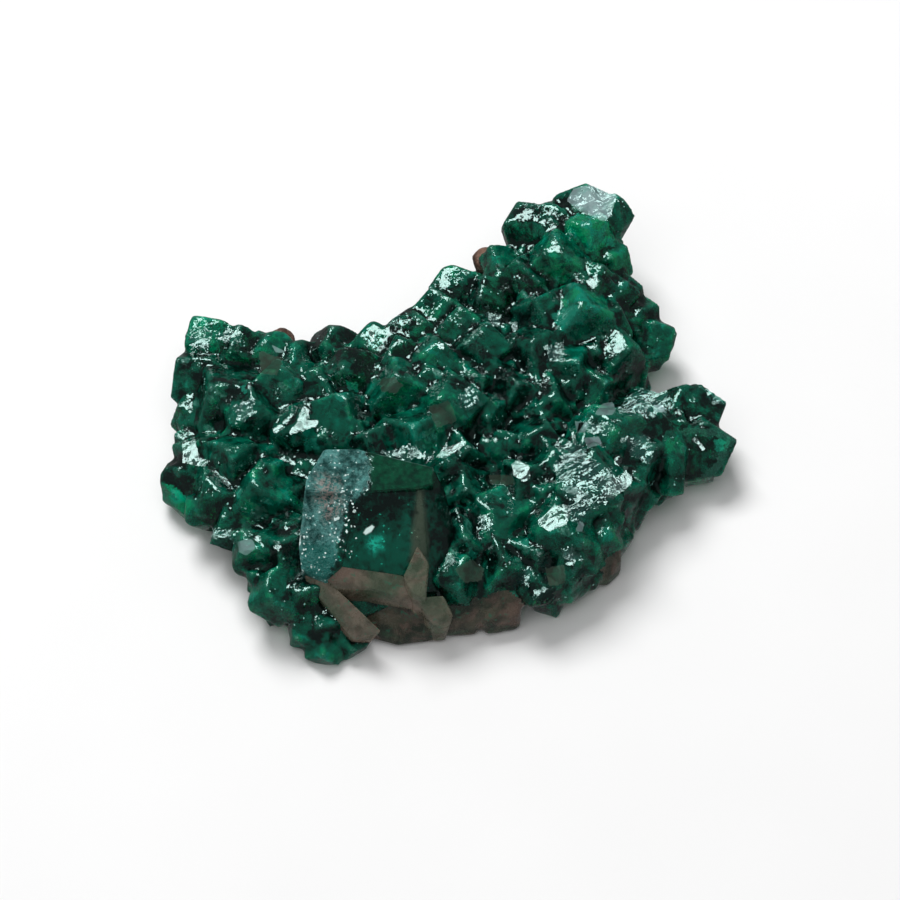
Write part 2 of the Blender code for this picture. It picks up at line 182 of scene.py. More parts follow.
# A row that sticks out sideways all along the rim, except where the front edge is broken
RIM_ROW_STEP = 2.9
RIM_ROW_HEIGHTS = (2.5, 4.2)
RIM_ROW_UNEVEN = 0.4
RIM_ROW_LEAN = 70.0
RIM_ROW_LEAN_SPREAD = 10.0
RIM_ROW_TURN = 20.0
RIM_ROW_OUT = 0.9
RIM_ROW_RADIUS = (1.5, 1.9)
BROKEN_HEADINGS = range(255, 315)

# Etching has melted the crystals into each other: the size of the grid they are rounded on, how often and how
# far that is smoothed, and the angle from which an edge still shows as sharp
MELT_GRID = 0.25
MELT_STEPS = 2
MELT_FACTOR = 0.5
SHARP_ANGLE = math.radians(33.0)

# Edges shorter than this are slivers that the joining leaves behind
SLIVER = 0.002

# The smallest crystals: one place is tried for each so many square millimetres. In hollow places they crowd,
# and elsewhere a few have overgrown the faces
SPROUT_SEED = 17
SPROUT_AREA = 0.55
SPROUT_CLEAR = 1.1
SPROUT_UNDERSIDE = -0.2
HOLLOW_LIFT = 0.05
HOLLOW_RAYS = 8
HOLLOW_TILT = 58.0
HOLLOW_REACH = 2.0
HOLLOW_SHARE = 0.7
HOLLOW_RADIUS = (0.5, 1.0)
HOLLOW_RISE = (0.3, 1.0)
OVERGROWN_SHARE = 0.02
OVERGROWN_RADIUS = (0.25, 0.5)
OVERGROWN_RISE = (0.12, 0.35)
SPROUT_ROOT = 1.3
SPROUT_SWAY = 0.35
BOX_MARGIN = 0.3

# The middle of the crust, and its rim at shoulder height, anticlockwise from the left end (right, up). The
# crust draws back where the front edge is broken
BROKEN_RIM = range(6, 12)
BROKEN_INSET = 3.2
CRUST_MIDDLE = (0.0, 1.0)
RIM = [
    (-22.4, 4.6), (-22.3, -1.4), (-21.6, -3.9), (-17.8, -6.2), (-15.0, -10.8), (-13.6, -13.6),
    (-11.2, -16.4), (-8.8, -16.6), (-4.0, -15.2), (4.2, -13.4), (8.6, -12.9), (11.6, -10.7), (14.0, -7.0),
    (18.0, -3.4), (21.4, -1.0), (21.6, 1.6), (16.0, 4.6), (17.3, 8.8), (15.2, 13.2), (13.6, 17.2),
    (10.0, 17.6), (5.8, 16.4), (-1.2, 12.2), (-4.6, 9.2), (-12.8, 7.1), (-20.6, 7.6),
]

# Each crystal: right, up, tip height, radius, lean from upright and compass heading of the lean in degrees
# (0 leans to the right, 90 to the back, 180 to the left, 270 to the front)
Crystal = namedtuple("Crystal", "right up height radius lean heading")
LEFT_END = [
    (-21.6, 11.5, 7.6, 2.2, 38, 140),
    (-17.8, 11.0, 7.8, 2.2, 30, 95),
    (-15.0, 10.2, 6.8, 1.8, 40, 85),
    (-22.8, 7.4, 6.6, 2.9, 42, 168),
    (-20.2, 5.6, 8.8, 3.9, 26, 200),
    (-23.4, 4.2, 5.6, 3.0, 48, 182),
    (-14.6, 7.2, 9.0, 2.3, 18, 100),
    (-16.2, 4.0, 9.4, 2.6, 20, 300),
    (-23.4, 1.2, 4.6, 1.9, 52, 180),
    (-21.8, 0.2, 7.0, 2.3, 28, 215),
    (-18.4, -0.4, 8.6, 2.5, 20, 250),
    (-24.7, -2.8, 3.2, 1.8, 62, 180),
    (-20.4, -3.4, 6.4, 2.6, 32, 230),
    (-23.5, -4.7, 2.4, 1.7, 62, 210),
    (-21.4, -5.8, 2.2, 1.7, 58, 235),
]
LOWER_LEFT = [
    (-16.2, -3.2, 8.2, 2.5, 24, 245),
    (-19.0, -6.6, 5.0, 2.1, 46, 230),
    (-17.2, -8.6, 6.2, 2.3, 38, 230),
    (-14.6, -7.6, 8.0, 2.1, 28, 245),
    (-16.6, -10.9, 4.4, 1.8, 48, 225),
    (-15.2, -12.3, 5.6, 2.6, 38, 240),
    (-15.6, -14.0, 1.8, 1.6, 64, 235),
    (-13.2, -12.3, 5.4, 2.4, 34, 240),
    (-11.2, -14.6, 3.6, 2.1, 46, 250),
    (-13.0, -15.6, 3.0, 1.9, 54, 235),
    (-10.8, -17.5, 2.2, 1.8, 58, 262),
    (-8.0, -16.9, 1.8, 1.7, 60, 275),
]
MIDDLE = [
    (-12.5, 9.6, 7.0, 2.2, 40, 90),
    (-9.8, 10.8, 7.0, 2.4, 42, 95),
    (-6.6, 11.3, 7.4, 2.5, 42, 100),
    (-11.2, 7.2, 9.0, 2.3, 20, 80),
    (-8.4, 8.6, 8.8, 2.3, 26, 95),
    (-4.4, 9.9, 9.0, 2.3, 26, 110),
    (-8.6, 4.9, 9.8, 2.8, 18, 50),
    (-4.6, 6.2, 10.2, 2.8, 12, 250),
    (-12.4, 2.6, 9.4, 2.3, 20, 280),
    (-7.2, 1.7, 9.8, 2.4, 18, 200),
    (-3.0, 2.3, 10.8, 3.2, 12, 260),
    (0.6, 6.2, 10.2, 2.9, 16, 60),
    (-3.6, 12.0, 8.0, 2.5, 34, 115),
    (-1.9, 13.9, 8.2, 2.4, 36, 120),
    (-0.2, 15.8, 8.0, 2.5, 40, 115),
    (0.4, 12.4, 9.2, 2.3, 26, 110),
    (2.6, 15.0, 9.0, 2.1, 30, 110),
    (-0.6, 9.6, 9.8, 2.2, 20, 40),
    (3.2, 10.6, 9.8, 2.4, 20, 60),
    (3.6, 3.4, 8.8, 2.4, 24, 330),
    (1.8, 0.4, 9.0, 2.5, 24, 320),
]
UPPER_RIGHT = [
    (3.3, 17.8, 8.6, 2.1, 42, 130),
    (5.6, 20.3, 9.0, 2.2, 38, 120),
    (8.3, 20.6, 9.4, 2.0, 36, 90),
    (11.6, 22.2, 10.2, 3.2, 28, 80),
    (14.1, 21.2, 9.2, 2.3, 42, 45),
    (11.6, 18.8, 10.6, 1.8, 20, 270),
    (15.7, 17.6, 8.4, 2.2, 48, 10),
    (16.8, 14.4, 7.4, 2.3, 52, 5),
    (8.6, 16.9, 10.6, 2.3, 16, 240),
    (5.6, 16.2, 10.0, 2.2, 20, 150),
    (13.2, 15.6, 10.0, 2.2, 26, 20),
    (10.8, 12.0, 10.8, 3.2, 12, 300),
    (14.6, 12.0, 9.0, 2.2, 32, 10),
    (17.8, 12.2, 5.8, 2.0, 56, 15),
    (19.4, 10.0, 5.0, 2.2, 56, 0),
    (15.9, 8.8, 8.0, 2.6, 38, 350),
    (18.0, 8.0, 4.0, 1.8, 60, 340),
    (6.8, 12.8, 10.2, 2.3, 18, 200),
    (6.6, 9.0, 9.8, 2.3, 16, 250),
    (5.6, 6.0, 9.4, 2.4, 16, 290),
    (11.2, 7.4, 9.2, 2.5, 22, 320),
    (16.7, 6.4, 4.4, 1.9, 56, 330),
    (13.6, 5.6, 7.6, 2.0, 38, 330),
    (8.6, 4.6, 8.6, 2.2, 22, 310),
]
RIGHT_ARM = [
    (16.2, 4.4, 8.6, 2.7, 32, 60),
    (23.5, 4.3, 5.4, 2.5, 66, 10),
    (24.2, 0.8, 4.8, 2.8, 66, 355),
    (22.0, -2.2, 2.8, 2.0, 64, 310),
    (19.4, 4.4, 6.6, 2.2, 48, 60),
    (14.2, 2.2, 10.2, 2.8, 14, 300),
    (11.4, 3.0, 9.8, 2.3, 16, 120),
    (19.0, -3.4, 3.4, 2.0, 56, 305),
    (16.8, -5.4, 3.2, 2.1, 56, 310),
    (17.4, 0.2, 8.2, 2.5, 34, 330),
    (14.8, -3.2, 7.8, 2.7, 34, 300),
    (12.0, -1.8, 10.0, 2.9, 12, 300),
    (9.2, -5.4, 9.2, 2.6, 14, 250),
    (6.0, -1.4, 9.6, 2.3, 16, 220),
    (8.8, 0.6, 9.2, 2.3, 18, 100),
    (8.2, 2.4, 8.8, 2.1, 20, 20),
]
FRONT = [
    (1.4, -3.4, 8.6, 2.5, 28, 290),
    (4.8, -5.6, 8.2, 2.9, 30, 280),
    (1.4, -7.2, 8.0, 2.5, 30, 280),
    (7.4, -8.8, 7.6, 2.5, 32, 280),
    (10.8, -8.6, 6.8, 2.4, 38, 290),
    (13.4, -7.2, 6.0, 2.2, 44, 305),
    (14.8, -8.0, 3.4, 1.8, 56, 310),
    (12.6, -10.4, 3.2, 1.8, 58, 310),
    (10.8, -11.8, 3.2, 1.8, 56, 300),
    (8.6, -13.2, 2.4, 1.8, 56, 280),
    (4.4, -9.9, 6.8, 2.5, 36, 275),
    (0.6, -10.9, 6.4, 2.4, 38, 275),
    (7.6, -11.6, 5.4, 2.1, 42, 280),
    (4.8, -12.9, 3.4, 1.9, 52, 268),
    (1.6, -13.6, 3.2, 1.9, 54, 264),
]
GROUPS = (LEFT_END, LOWER_LEFT, MIDDLE, UPPER_RIGHT, RIGHT_ARM, FRONT)
CRYSTALS = [Crystal(*row) for group in GROUPS for row in group]

# The crystals whose shade isn't left to chance, by right and up: 0 is dark, 1 pale, and more is paler yet
BRIGHT_CRYSTALS = {
    # The three at the left rim are paler, as painted light shining through their thin ends
    (-24.7, -2.8): 1.9,
    (-23.5, -4.7): 1.7,
    (-21.4, -5.8): 1.5,
    (-15.2, -12.3): 0.7,
    (-10.8, -17.5): 0.6,
    (23.5, 4.3): 0.1,
    (24.2, 0.8): 0.2,
    (-13.2, -12.3): 0.1,
    (-11.2, -14.6): 0.1,
    (11.6, 18.8): 1.7,
    (10.8, 12.0): 1.3,
    (-3.0, 2.3): 0.9,
    (-0.6, 9.6): 0.9,
    (4.8, -5.6): 0.8,
}

# The great crystal at the front left is a stack of blocks. Each has a kind of surface, the height of its
# foot, the share that it narrows to there, a place on its upper face (right, up, height), the heading and
# tilt of that face in degrees, and the corners of the face (right, up)
GREAT_MIDDLE = (-7.0, -4.9)
GREAT_CLEAR = 5.4
GREAT_EDGE_RADIUS = 0.7
BLOCK_SHADE = 0.5
NEARLY_FLAT = math.radians(3.0)
Block = namedtuple("Block", "kind foot narrowed place heading tilt corners")
GREAT_BLOCKS = {
    "core": Block("great", 2.4, 0.95, (-7.0, -3.0, 10.3), 270, 32, [
        (-10.6, -0.8), (-2.4, -1.6), (-1.8, -3.0), (-2.6, -9.0), (-8.0, -9.4), (-11.8, -8.4),
        (-11.8, -3.0)]),
    "brow": Block("great", 5.0, 0.98, (-7.8, 0.1, 11.7), 258, 13, [
        (-10.5, 0.1), (-7.8, 0.15), (-6.2, -0.35), (-1.35, -1.4), (-1.4, -2.8), (-2.5, -3.15),
        (-7.6, -3.6), (-12.1, -3.4), (-12.0, -2.4), (-10.7, -1.8)]),
    "flank": Block("great", 4.0, 0.97, (-8.0, -3.5, 10.9), 242, 36, [
        (-12.1, -3.2), (-7.6, -3.5), (-8.3, -5.8), (-8.6, -8.0), (-9.0, -9.6), (-10.3, -10.7),
        (-12.4, -10.0), (-12.6, -8.0), (-12.2, -5.8)]),
    "face": Block("great", 3.4, 0.94, (-5.0, -3.2, 10.9), 276, 37, [
        (-7.7, -3.4), (-2.5, -3.1), (-2.1, -7.0), (-1.8, -10.2), (-4.0, -10.4), (-6.5, -10.0),
        (-9.1, -9.6), (-8.7, -8.0), (-8.4, -5.8)]),
    "ridge": Block("great", 4.0, 1.0, (-2.4, -6.0, 9.3), 285, 38, [
        (-2.8, -3.2), (-2.25, -3.2), (-1.95, -7.0), (-1.8, -8.8), (-2.9, -8.6), (-2.8, -6.9)]),
    "ridge_foot": Block("smoky", 3.0, 0.9, (-2.6, -9.0, 8.05), 280, 38, [
        (-2.7, -7.9), (-1.75, -9.4), (-2.0, -12.4), (-3.1, -12.0), (-3.9, -10.5)]),
    "sill_left": Block("smoky", 3.4, 0.8, (-6.5, -10.0, 6.95), 270, 52, [
        (-10.6, -10.4), (-9.2, -9.6), (-5.0, -10.2), (-5.0, -11.7), (-6.0, -11.6), (-9.6, -11.5)]),
    "sill_right": Block("smoky", 3.4, 0.8, (-6.5, -10.0, 6.95), 270, 52, [
        (-7.4, -9.85), (-3.9, -10.4), (-2.1, -12.3), (-2.7, -12.8), (-4.4, -12.3), (-6.2, -11.6),
        (-7.4, -11.4)]),
    "left_post": Block("smoky", 0.5, 0.7, (-9.4, -11.6, 5.6), 250, 52, [
        (-12.2, -9.8), (-10.4, -10.6), (-9.4, -11.6), (-7.7, -13.5), (-5.7, -15.1), (-8.1, -15.8),
        (-9.9, -13.0), (-12.1, -10.7)]),
    # The recess has the film darkened as painted shade
    "recess": Block("smoky_shaded", 0.3, 1.0, (-5.0, -12.4, 3.3), 262, 42, [
        (-8.4, -11.2), (-3.0, -12.0), (-1.0, -13.4), (-1.0, -15.0), (-4.4, -15.9), (-8.0, -14.6)]),
    "right_post": Block("smoky", 0.3, 0.55, (-1.2, -12.4, 5.3), 290, 50, [
        (-2.6, -12.2), (-0.5, -12.1), (0.3, -13.7), (0.0, -14.4), (-1.5, -14.2), (-2.5, -12.9)]),
    "dark_side": Block("great", 1.0, 1.1, (-1.6, -3.0, 10.6), 322, 50, [
        (-2.4, -2.6), (-1.3, -1.6), (-0.4, -3.4), (0.6, -7.6), (-0.7, -11.9), (-2.1, -11.8),
        (-2.2, -7.0)]),
}

# The broken stone that shows along the front edge, in the same terms, under the film darkened as painted
# shade
FRONT_BLOCKS = {
    "front_left": Block("smoky_shaded", 0.2, 1.0, (1.4, -11.6, 4.6), 266, 58, [
        (-0.8, -11.9), (1.4, -11.4), (2.8, -12.6), (2.2, -14.5), (-0.6, -15.0)]),
    "front_middle": Block("smoky_shaded", 0.2, 1.0, (4.0, -12.0, 4.0), 280, 50, [
        (2.6, -12.4), (4.0, -11.6), (6.0, -12.2), (5.8, -13.8), (3.0, -14.4)]),
    "front_right": Block("smoky_shaded", 0.2, 1.0, (12.9, -8.4, 3.6), 300, 55, [
        (12.0, -8.2), (13.9, -7.6), (14.4, -9.0), (13.2, -10.6), (12.2, -10.2)]),
}

# What the great crystal's skin is where: convex regions of the picture, each with the width of its blur, how
# ragged its outline is, and its corners (right, up). The window foot is painted lit and the part under the
# sill in painted shade; the blob is a painted glow, and the glints, sparkles and rear edge are painted
# highlights
GREAT_REGIONS = {
    "brow": (0.25, 1.4, [
        (-6.6, 0.3), (-1.0, -0.9), (-1.2, -3.0), (-2.5, -3.2), (-6.4, -3.3)]),
    "window_foot": (2.2, 0.0, [
        (-8.0, -6.4), (-2.0, -5.2), (-2.0, -11.0), (-9.5, -11.0)]),
    "under_sill": (0.3, 0.0, [
        (-9.4, -11.3), (-6.2, -11.2), (-2.4, -12.4), (-2.4, -13.6), (-8.4, -13.6)]),
    "window_sparkles": (0.6, 0.0, [
        (-10.6, -3.2), (-3.0, -3.6), (-2.7, -9.2), (-9.4, -9.4)]),
    "blob": (0.5, 0.9, [
        (-6.5, -7.0), (-5.6, -7.0), (-5.5, -7.9), (-6.1, -8.3), (-6.7, -7.9)]),
    "ridge_strip": (0.3, 0.5, [
        (-2.95, -3.3), (-2.2, -3.3), (-1.8, -7.0), (-1.8, -9.5), (-3.4, -9.0), (-3.1, -6.9)]),
    "rear_edge": (0.2, 0.0, [
        (-12.0, 0.8), (-1.0, -0.4), (-1.0, -1.7), (-6.0, -0.9), (-9.0, -0.4), (-12.0, -0.6)]),
    "frost_top": (0.3, 2.2, [
        (-12.4, 0.5), (-7.2, 0.4), (-6.5, -1.0), (-6.4, -2.9), (-7.6, -3.9), (-13.0, -4.2)]),
    "frost_side": (0.3, 2.2, [
        (-13.0, -3.4), (-7.7, -3.6), (-8.6, -6.6), (-8.8, -9.0), (-9.6, -10.8), (-13.0, -10.8)]),
    "frost_sparkles": (0.8, 0.0, [
        (-9.4, -3.0), (-7.8, -3.6), (-7.9, -7.0), (-8.4, -9.0), (-9.6, -9.0), (-9.2, -6.0)]),
    "lobe_sparkles": (0.8, 0.0, [
        (-12.6, -6.4), (-11.4, -6.6), (-11.6, -8.6), (-11.0, -10.4), (-12.2, -10.4), (-12.8, -8.6)]),
    "window_glint": (0.08, 0.0, [
        (-7.0, -6.7), (-6.8, -6.35), (-6.3, -6.05), (-6.1, -6.2), (-6.35, -6.6), (-6.8, -6.85)]),
    "side_glint": (0.08, 0.0, [
        (-12.5, -7.0), (-12.1, -7.0), (-12.1, -7.4), (-12.5, -7.4)]),
    "frost_earth": (0.8, 0.0, [
        (-10.6, -2.2), (-9.2, -2.4), (-8.8, -5.0), (-10.0, -5.6), (-10.8, -4.0)]),
    "frost_lobe": (0.4, 0.8, [
        (-11.8, -7.6), (-9.4, -7.6), (-8.6, -9.0), (-9.4, -10.4), (-11.2, -10.6), (-12.2, -9.2)]),
}

# Cleavage faces within the clear crystals that catch the light or show grey through it, by kind: the corners
# of each as it is seen (right, up). Bright and broken faces are also painted paler as painted highlights,
# pale ones are painted grey as painted reflections, teal and fringe places are painted green as painted glow
# where light seems to shine through, and grey faces are painted a dull grey-green
CLEAVAGE_BLUR = 0.5
CLEAVAGES = {
    "bright": [
        [(10.3, 21.0), (10.7, 21.2), (11.4, 20.3), (11.1, 20.1)],
        [(11.6, 21.6), (12.0, 21.6), (12.6, 20.0), (12.9, 19.2), (12.3, 19.6)],
        [(13.2, 21.4), (13.6, 21.1), (13.3, 20.0), (13.0, 20.4)],
        [(-22.3, 0.7), (-21.2, 0.75), (-20.9, -0.6), (-20.0, -0.9), (-20.6, -1.4), (-22.3, -1.1)],
        [(-12.2, 3.8), (-11.7, 3.2), (-11.9, 2.5), (-11.0, 2.5), (-11.1, 2.0), (-13.4, 1.2), (-13.4, 1.7),
         (-12.8, 2.2)],
        [(-16.9, 5.7), (-16.6, 5.8), (-16.6, 5.1), (-16.9, 5.0)],
        [(-6.8, 10.0), (-6.3, 9.9), (-6.4, 9.0), (-6.6, 9.0)],
        [(-1.05, 9.05), (-0.5, 8.9), (-0.5, 8.4), (-1.0, 8.5)],
        [(5.1, 10.7), (5.6, 10.7), (5.7, 10.0), (5.2, 9.8)],
        [(11.2, 14.2), (12.0, 14.3), (12.3, 13.6), (11.8, 13.5)],
        [(5.1, -1.1), (5.7, -0.9), (6.6, -1.3), (6.7, -2.3), (6.3, -2.7), (5.3, -2.1)],
        [(12.6, -3.9), (13.1, -2.7), (14.6, -1.8), (15.2, -2.1), (15.1, -2.9), (13.7, -4.0)],
        [(7.2, -6.0), (8.6, -4.7), (9.7, -4.5), (10.2, -5.0), (9.7, -6.2), (8.2, -6.8)],
        [(10.05, 1.5), (10.35, 1.5), (10.55, 0.5), (10.3, 0.5)],
        [(14.4, 1.2), (15.0, 1.2), (14.9, 0.6)],
        [(-1.2, -0.6), (-0.8, -0.1), (1.2, 0.8), (1.25, 0.4), (-0.4, -0.7)],
        [(-14.8, -8.0), (-14.0, -7.9), (-14.2, -8.6)],
        [(10.9, 21.3), (11.5, 21.6), (12.2, 20.0), (11.8, 19.8)],
        [(12.4, 21.9), (13.0, 21.7), (13.0, 20.6), (12.6, 20.4)],
        [(20.1, 1.0), (20.5, 1.05), (21.3, 0.1), (21.0, -0.1)],
        [(13.8, -0.4), (14.4, -0.5), (14.1, -1.4), (13.7, -1.2)],
        [(14.4, -1.3), (14.9, -1.4), (14.6, -1.9)],
        [(-14.8, 1.8), (-13.9, 2.2), (-13.8, 1.8), (-14.6, 1.3)],
    ],
    "broken": [
        [(9.9, 21.0), (11.7, 22.2), (13.6, 21.7), (13.9, 21.1), (13.4, 19.5), (12.8, 19.0), (10.7, 20.2)],
        [(-21.3, 10.2), (-20.3, 10.4), (-19.8, 9.6), (-20.2, 8.3), (-21.5, 8.4), (-21.7, 9.3)],
        [(-19.5, 9.8), (-18.5, 10.2), (-17.2, 9.75), (-17.5, 9.0), (-19.0, 9.1)],
        [(-5.6, 11.8), (-4.2, 12.1), (-4.2, 10.9), (-5.2, 10.5)],
        [(3.0, 11.4), (4.2, 11.6), (4.3, 10.4), (3.4, 10.3)],
        [(8.6, -1.2), (10.4, -0.4), (13.4, -1.6), (14.8, -3.0), (12.7, -4.6), (11.2, -5.4), (9.2, -3.4)],
        [(9.6, -4.6), (10.9, -4.2), (11.3, -5.6), (10.4, -6.2)],
        [(13.9, 3.2), (15.2, 4.8), (16.6, 5.4), (18.2, 4.8), (18.4, 3.3), (16.9, 2.7)],
        [(11.0, 2.4), (13.6, 2.2), (13.2, 1.2), (11.4, 1.4)],
        [(8.8, 0.4), (10.6, 0.6), (11.8, -0.6), (9.4, -0.8)],
        [(14.2, 1.0), (16.2, 1.4), (17.8, -0.6), (16.6, -1.2), (15.2, -0.4)],
        [(5.4, -10.2), (6.7, -9.8), (6.6, -11.2), (5.4, -11.5)],
        [(-18.2, 3.6), (-16.6, 4.4), (-16.2, 3.0), (-17.6, 2.2)],
        [(-6.0, -0.2), (-3.4, 0.4), (-1.6, -0.6), (-3.6, -0.9)],
        [(0.6, 4.6), (2.0, 5.2), (2.6, 3.8), (1.2, 3.4)],
        [(7.8, 8.6), (9.4, 9.0), (9.6, 7.6), (8.2, 7.4)],
        [(-20.2, -6.4), (-18.2, -6.6), (-18.0, -8.4), (-19.6, -8.6)],
        [(9.2, -8.2), (10.6, -8.0), (11.0, -9.2), (9.8, -9.6)],
        [(7.2, -8.6), (8.4, -8.6), (8.2, -9.6), (7.4, -9.8)],
        [(7.0, -11.6), (8.8, -11.4), (8.6, -12.6), (7.2, -12.8)],
        [(10.2, -9.8), (11.2, -9.8), (11.0, -10.8), (10.2, -10.8)],
        [(2.4, -5.4), (3.8, -5.2), (3.6, -6.6), (2.6, -6.8)],
        [(21.4, 5.0), (23.0, 4.6), (23.2, 3.8), (21.8, 4.0)],
    ],
    "pale": [
        [(9.7, 20.8), (10.3, 21.8), (11.7, 22.1), (13.6, 21.6), (13.9, 21.1), (13.4, 19.5), (12.8, 19.0),
         (10.7, 20.0)],
        [(-14.9, 8.8), (-13.5, 8.1), (-14.5, 8.1)],
        [(10.4, -6.8), (10.8, -5.9), (11.2, -6.2), (11.0, -6.8)],
        [(12.0, 2.9), (12.7, 3.9), (13.6, 4.0), (13.8, 3.3), (13.5, 2.9)],
        [(16.9, 3.7), (17.7, 3.8), (18.0, 3.2), (17.0, 3.1)],
        [(10.4, 2.4), (11.6, 2.3), (11.3, 1.5), (10.6, 1.4)],
        [(11.1, 1.0), (12.4, 1.1), (12.7, 0.5), (11.5, 0.2)],
        [(-17.7, -7.6), (-16.4, -7.4), (-16.2, -8.2), (-17.0, -8.8), (-17.6, -8.5)],
    ],
    "teal": [
        [(14.2, 14.1), (14.9, 14.1), (14.8, 13.4), (14.2, 13.5)],
        [(1.3, -7.8), (1.8, -8.1), (2.5, -9.1), (1.7, -8.9)],
        [(-8.6, 5.7), (-7.7, 5.7), (-7.7, 4.9), (-8.5, 4.9)],
        [(8.5, 11.2), (10.2, 12.1), (11.6, 11.4), (10.8, 10.4), (9.0, 10.4)],
        [(13.0, 17.5), (13.7, 17.6), (13.6, 16.9), (13.0, 16.9)],
        [(5.6, -7.6), (6.6, -7.4), (6.4, -8.2)],
        [(22.0, 1.0), (23.0, 0.9), (22.8, -0.2), (22.1, 0.0)],
        [(-12.2, 0.8), (-11.2, 0.9), (-11.0, 0.0), (-12.0, -0.1)],
        [(-17.4, 5.3), (-17.0, 5.4), (-16.9, 4.8), (-17.3, 4.7)],
        [(-9.6, 4.7), (-8.9, 4.7), (-8.8, 4.1), (-9.5, 4.1)],
    ],
    # Faces painted a dull grey-green, turned one dull way
    "grey_face": [
        [(0.4, -9.9), (1.8, -9.1), (2.8, -9.9), (2.6, -10.9), (1.2, -11.1)],
        [(-15.9, 8.3), (-13.9, 7.6), (-14.4, 6.2), (-15.8, 6.4)],
        [(-5.9, 5.9), (-4.6, 6.1), (-3.9, 5.4), (-4.5, 4.7), (-5.7, 4.9)],
        [(3.2, -2.1), (5.2, -2.1), (5.4, -2.9), (3.4, -2.9)],
        [(-1.8, 3.6), (0.0, 4.2), (0.6, 2.4), (-1.2, 1.8)],
        [(8.0, -9.8), (9.6, -9.6), (9.6, -11.2), (8.2, -11.4)],
    ],
    "fringe": [
        [(-24.9, -2.5), (-23.9, -2.7), (-23.2, -4.3), (-21.6, -5.8), (-22.0, -6.9), (-24.6, -5.0)],
        [(23.2, 5.2), (23.7, 5.0), (23.7, 1.9), (23.2, 1.9)],
        [(23.3, 1.6), (24.0, 1.3), (22.4, -1.9), (20.9, -3.0), (20.6, -2.5), (22.0, -1.2)],
        [(-17.6, -6.6), (-17.0, -7.2), (-15.4, -5.0), (-16.0, -4.6)],
        [(19.0, 1.5), (19.2, 1.9), (22.6, 1.7), (23.6, 1.2), (23.4, 0.8), (21.0, 1.2)],
        [(-24.4, 6.6), (-23.6, 6.8), (-23.3, 3.6), (-24.2, 3.4)],
        [(-22.5, 11.3), (-21.6, 11.9), (-20.0, 11.5), (-20.0, 11.0), (-21.6, 11.3), (-22.3, 10.6)],
    ],
}

# Lumps of matrix that show past the crystals: right, up, height and radius
KNOB_SEED = 7
KNOB_ROUGHNESS = (0.85, 1.12)
MATRIX_KNOBS = [
    (2.9, 15.9, 5.6, 1.2),
    (-13.9, 9.2, 5.0, 1.1),
]

# Clear dioptase: how it absorbs, bends, reflects and lets through light, the weights of its clouds, painted
# glows, own shade and cells in its green, and the limits above which its tiniest cells are painted sparkles
EMERALD_ABSORPTION = (0.02, 0.62, 0.40, 1.0)
EMERALD_DENSITY = 420.0
DIOPTASE_IOR = 1.67
COOL_GLINTS = (0.70, 1.0, 0.94, 1.0)
CLEAR_GLOSS = 0.38
GREAT_GLOSS = 0.3
CLEARNESS = 0.78
FROST_CLEARNESS = 0.30
SOLID_SHARE = 0.5
EMERALD_WEIGHTS = (0.85, 0.42, 0.17, 0.10)
FEWEST_SPARKLES = 0.9998
MOST_SPARKLES = 0.985

# Edges that stand out this much are crushed and rough
EDGE_POINTEDNESS = (0.515, 0.575)
EDGE_ROUGHNESS = 0.36
EDGE_CRUSHED = 0.7

# How many cells there are to a millimetre, in facets, streaks and painted sparkles
COARSE_CELLS = 0.9
MIDDLE_CELLS = 3.2
SPARKLE_CELLS = 4.2
FROST_CELLS = 4.5
TINY_CELLS = 8.0
BROAD_STREAKS = 1.1
FINE_STREAKS = 4.0

# Noise: lumps to a millimetre, detail, roughness and distortion
EMERALD_CLOUD = (0.5, 6.0, 0.68, 0.5)
EMERALD_GLOW = (1.5, 4.0, 0.6, 0.8)
CRUSHED_PLACES = (0.8, 2.0)
CLEAVAGE_RAGS = (2.2, 3.0, 0.6)
REGION_RAGS = (1.3, 4.0, 0.65)
GREAT_CLOUD = (0.55, 4.0, 0.6, 0.4)
GREAT_GRAIN = (3.6, 5.0, 0.7)
GREAT_FINE = (1.7, 4.0, 0.6)
SMOKE_CLOUD = (0.6, 5.0, 0.6, 0.6)
SMOKE_WISPS = (1.8, 4.0, 0.6, 1.0)
SMOKE_PATCHES = (0.32, 3.0, 0.6, 0.8)
ROCK_LUMPS = (1.1, 6.0, 0.65)
ROCK_GRAINS = (3.1, 4.0)
PAPER_UNEVEN = (0.05, 2.0)

# How deep the bumps in frost, film and rock are
FROST_DEPTH = 0.25
SMOKE_DEPTH = 0.12
ROCK_DEPTH = 0.3

# How ragged the outline of a cleavage face of each kind is, and the share and colour of its painted tint
RAGGEDNESS = {"bright": 0.25, "broken": 1.0, "pale": 0.08, "teal": 0.7, "grey_face": 0.3, "fringe": 0.8}
RAG_WIDTH = 1.6
CLEAVAGE_EDGE = (0.46, 0.54)
CLEAVAGE_TINTS = {
    "fringe": (0.6, (0.10, 0.46, 0.34, 1)),
    "grey_face": (0.8, (0.060, 0.085, 0.060, 1)),
    "teal": (0.85, (0.02, 0.75, 0.50, 1)),
    "broken": (0.45, (0.10, 0.36, 0.32, 1)),
    "bright": (0.35, (0.60, 0.75, 0.75, 1)),
    "pale": (0.65, (0.36, 0.48, 0.50, 1)),
}

# The streaks on bright and broken cleavage faces run along one grain. Each kind of streak turns a bright face
# by the first amount and a broken one by the second
CLEAVAGE_GRAIN = (0.89, 0.40, 0.20)
STREAK_SHARE = 0.7
STREAK_TURNS = ((0.26, 0.42), (0.17, 0.40), (0.07, 0.25))

# The heading and tilt of the dull faces, and how much each strays from them
DULL_FACING = (285.0, 34.0)
DULL_TURN = 0.45

# Colours of the clear crystals
DEEP_EMERALD = (0.0, 0.012, 0.010, 1)
EMERALD = (0.0, 0.33, 0.20, 1)
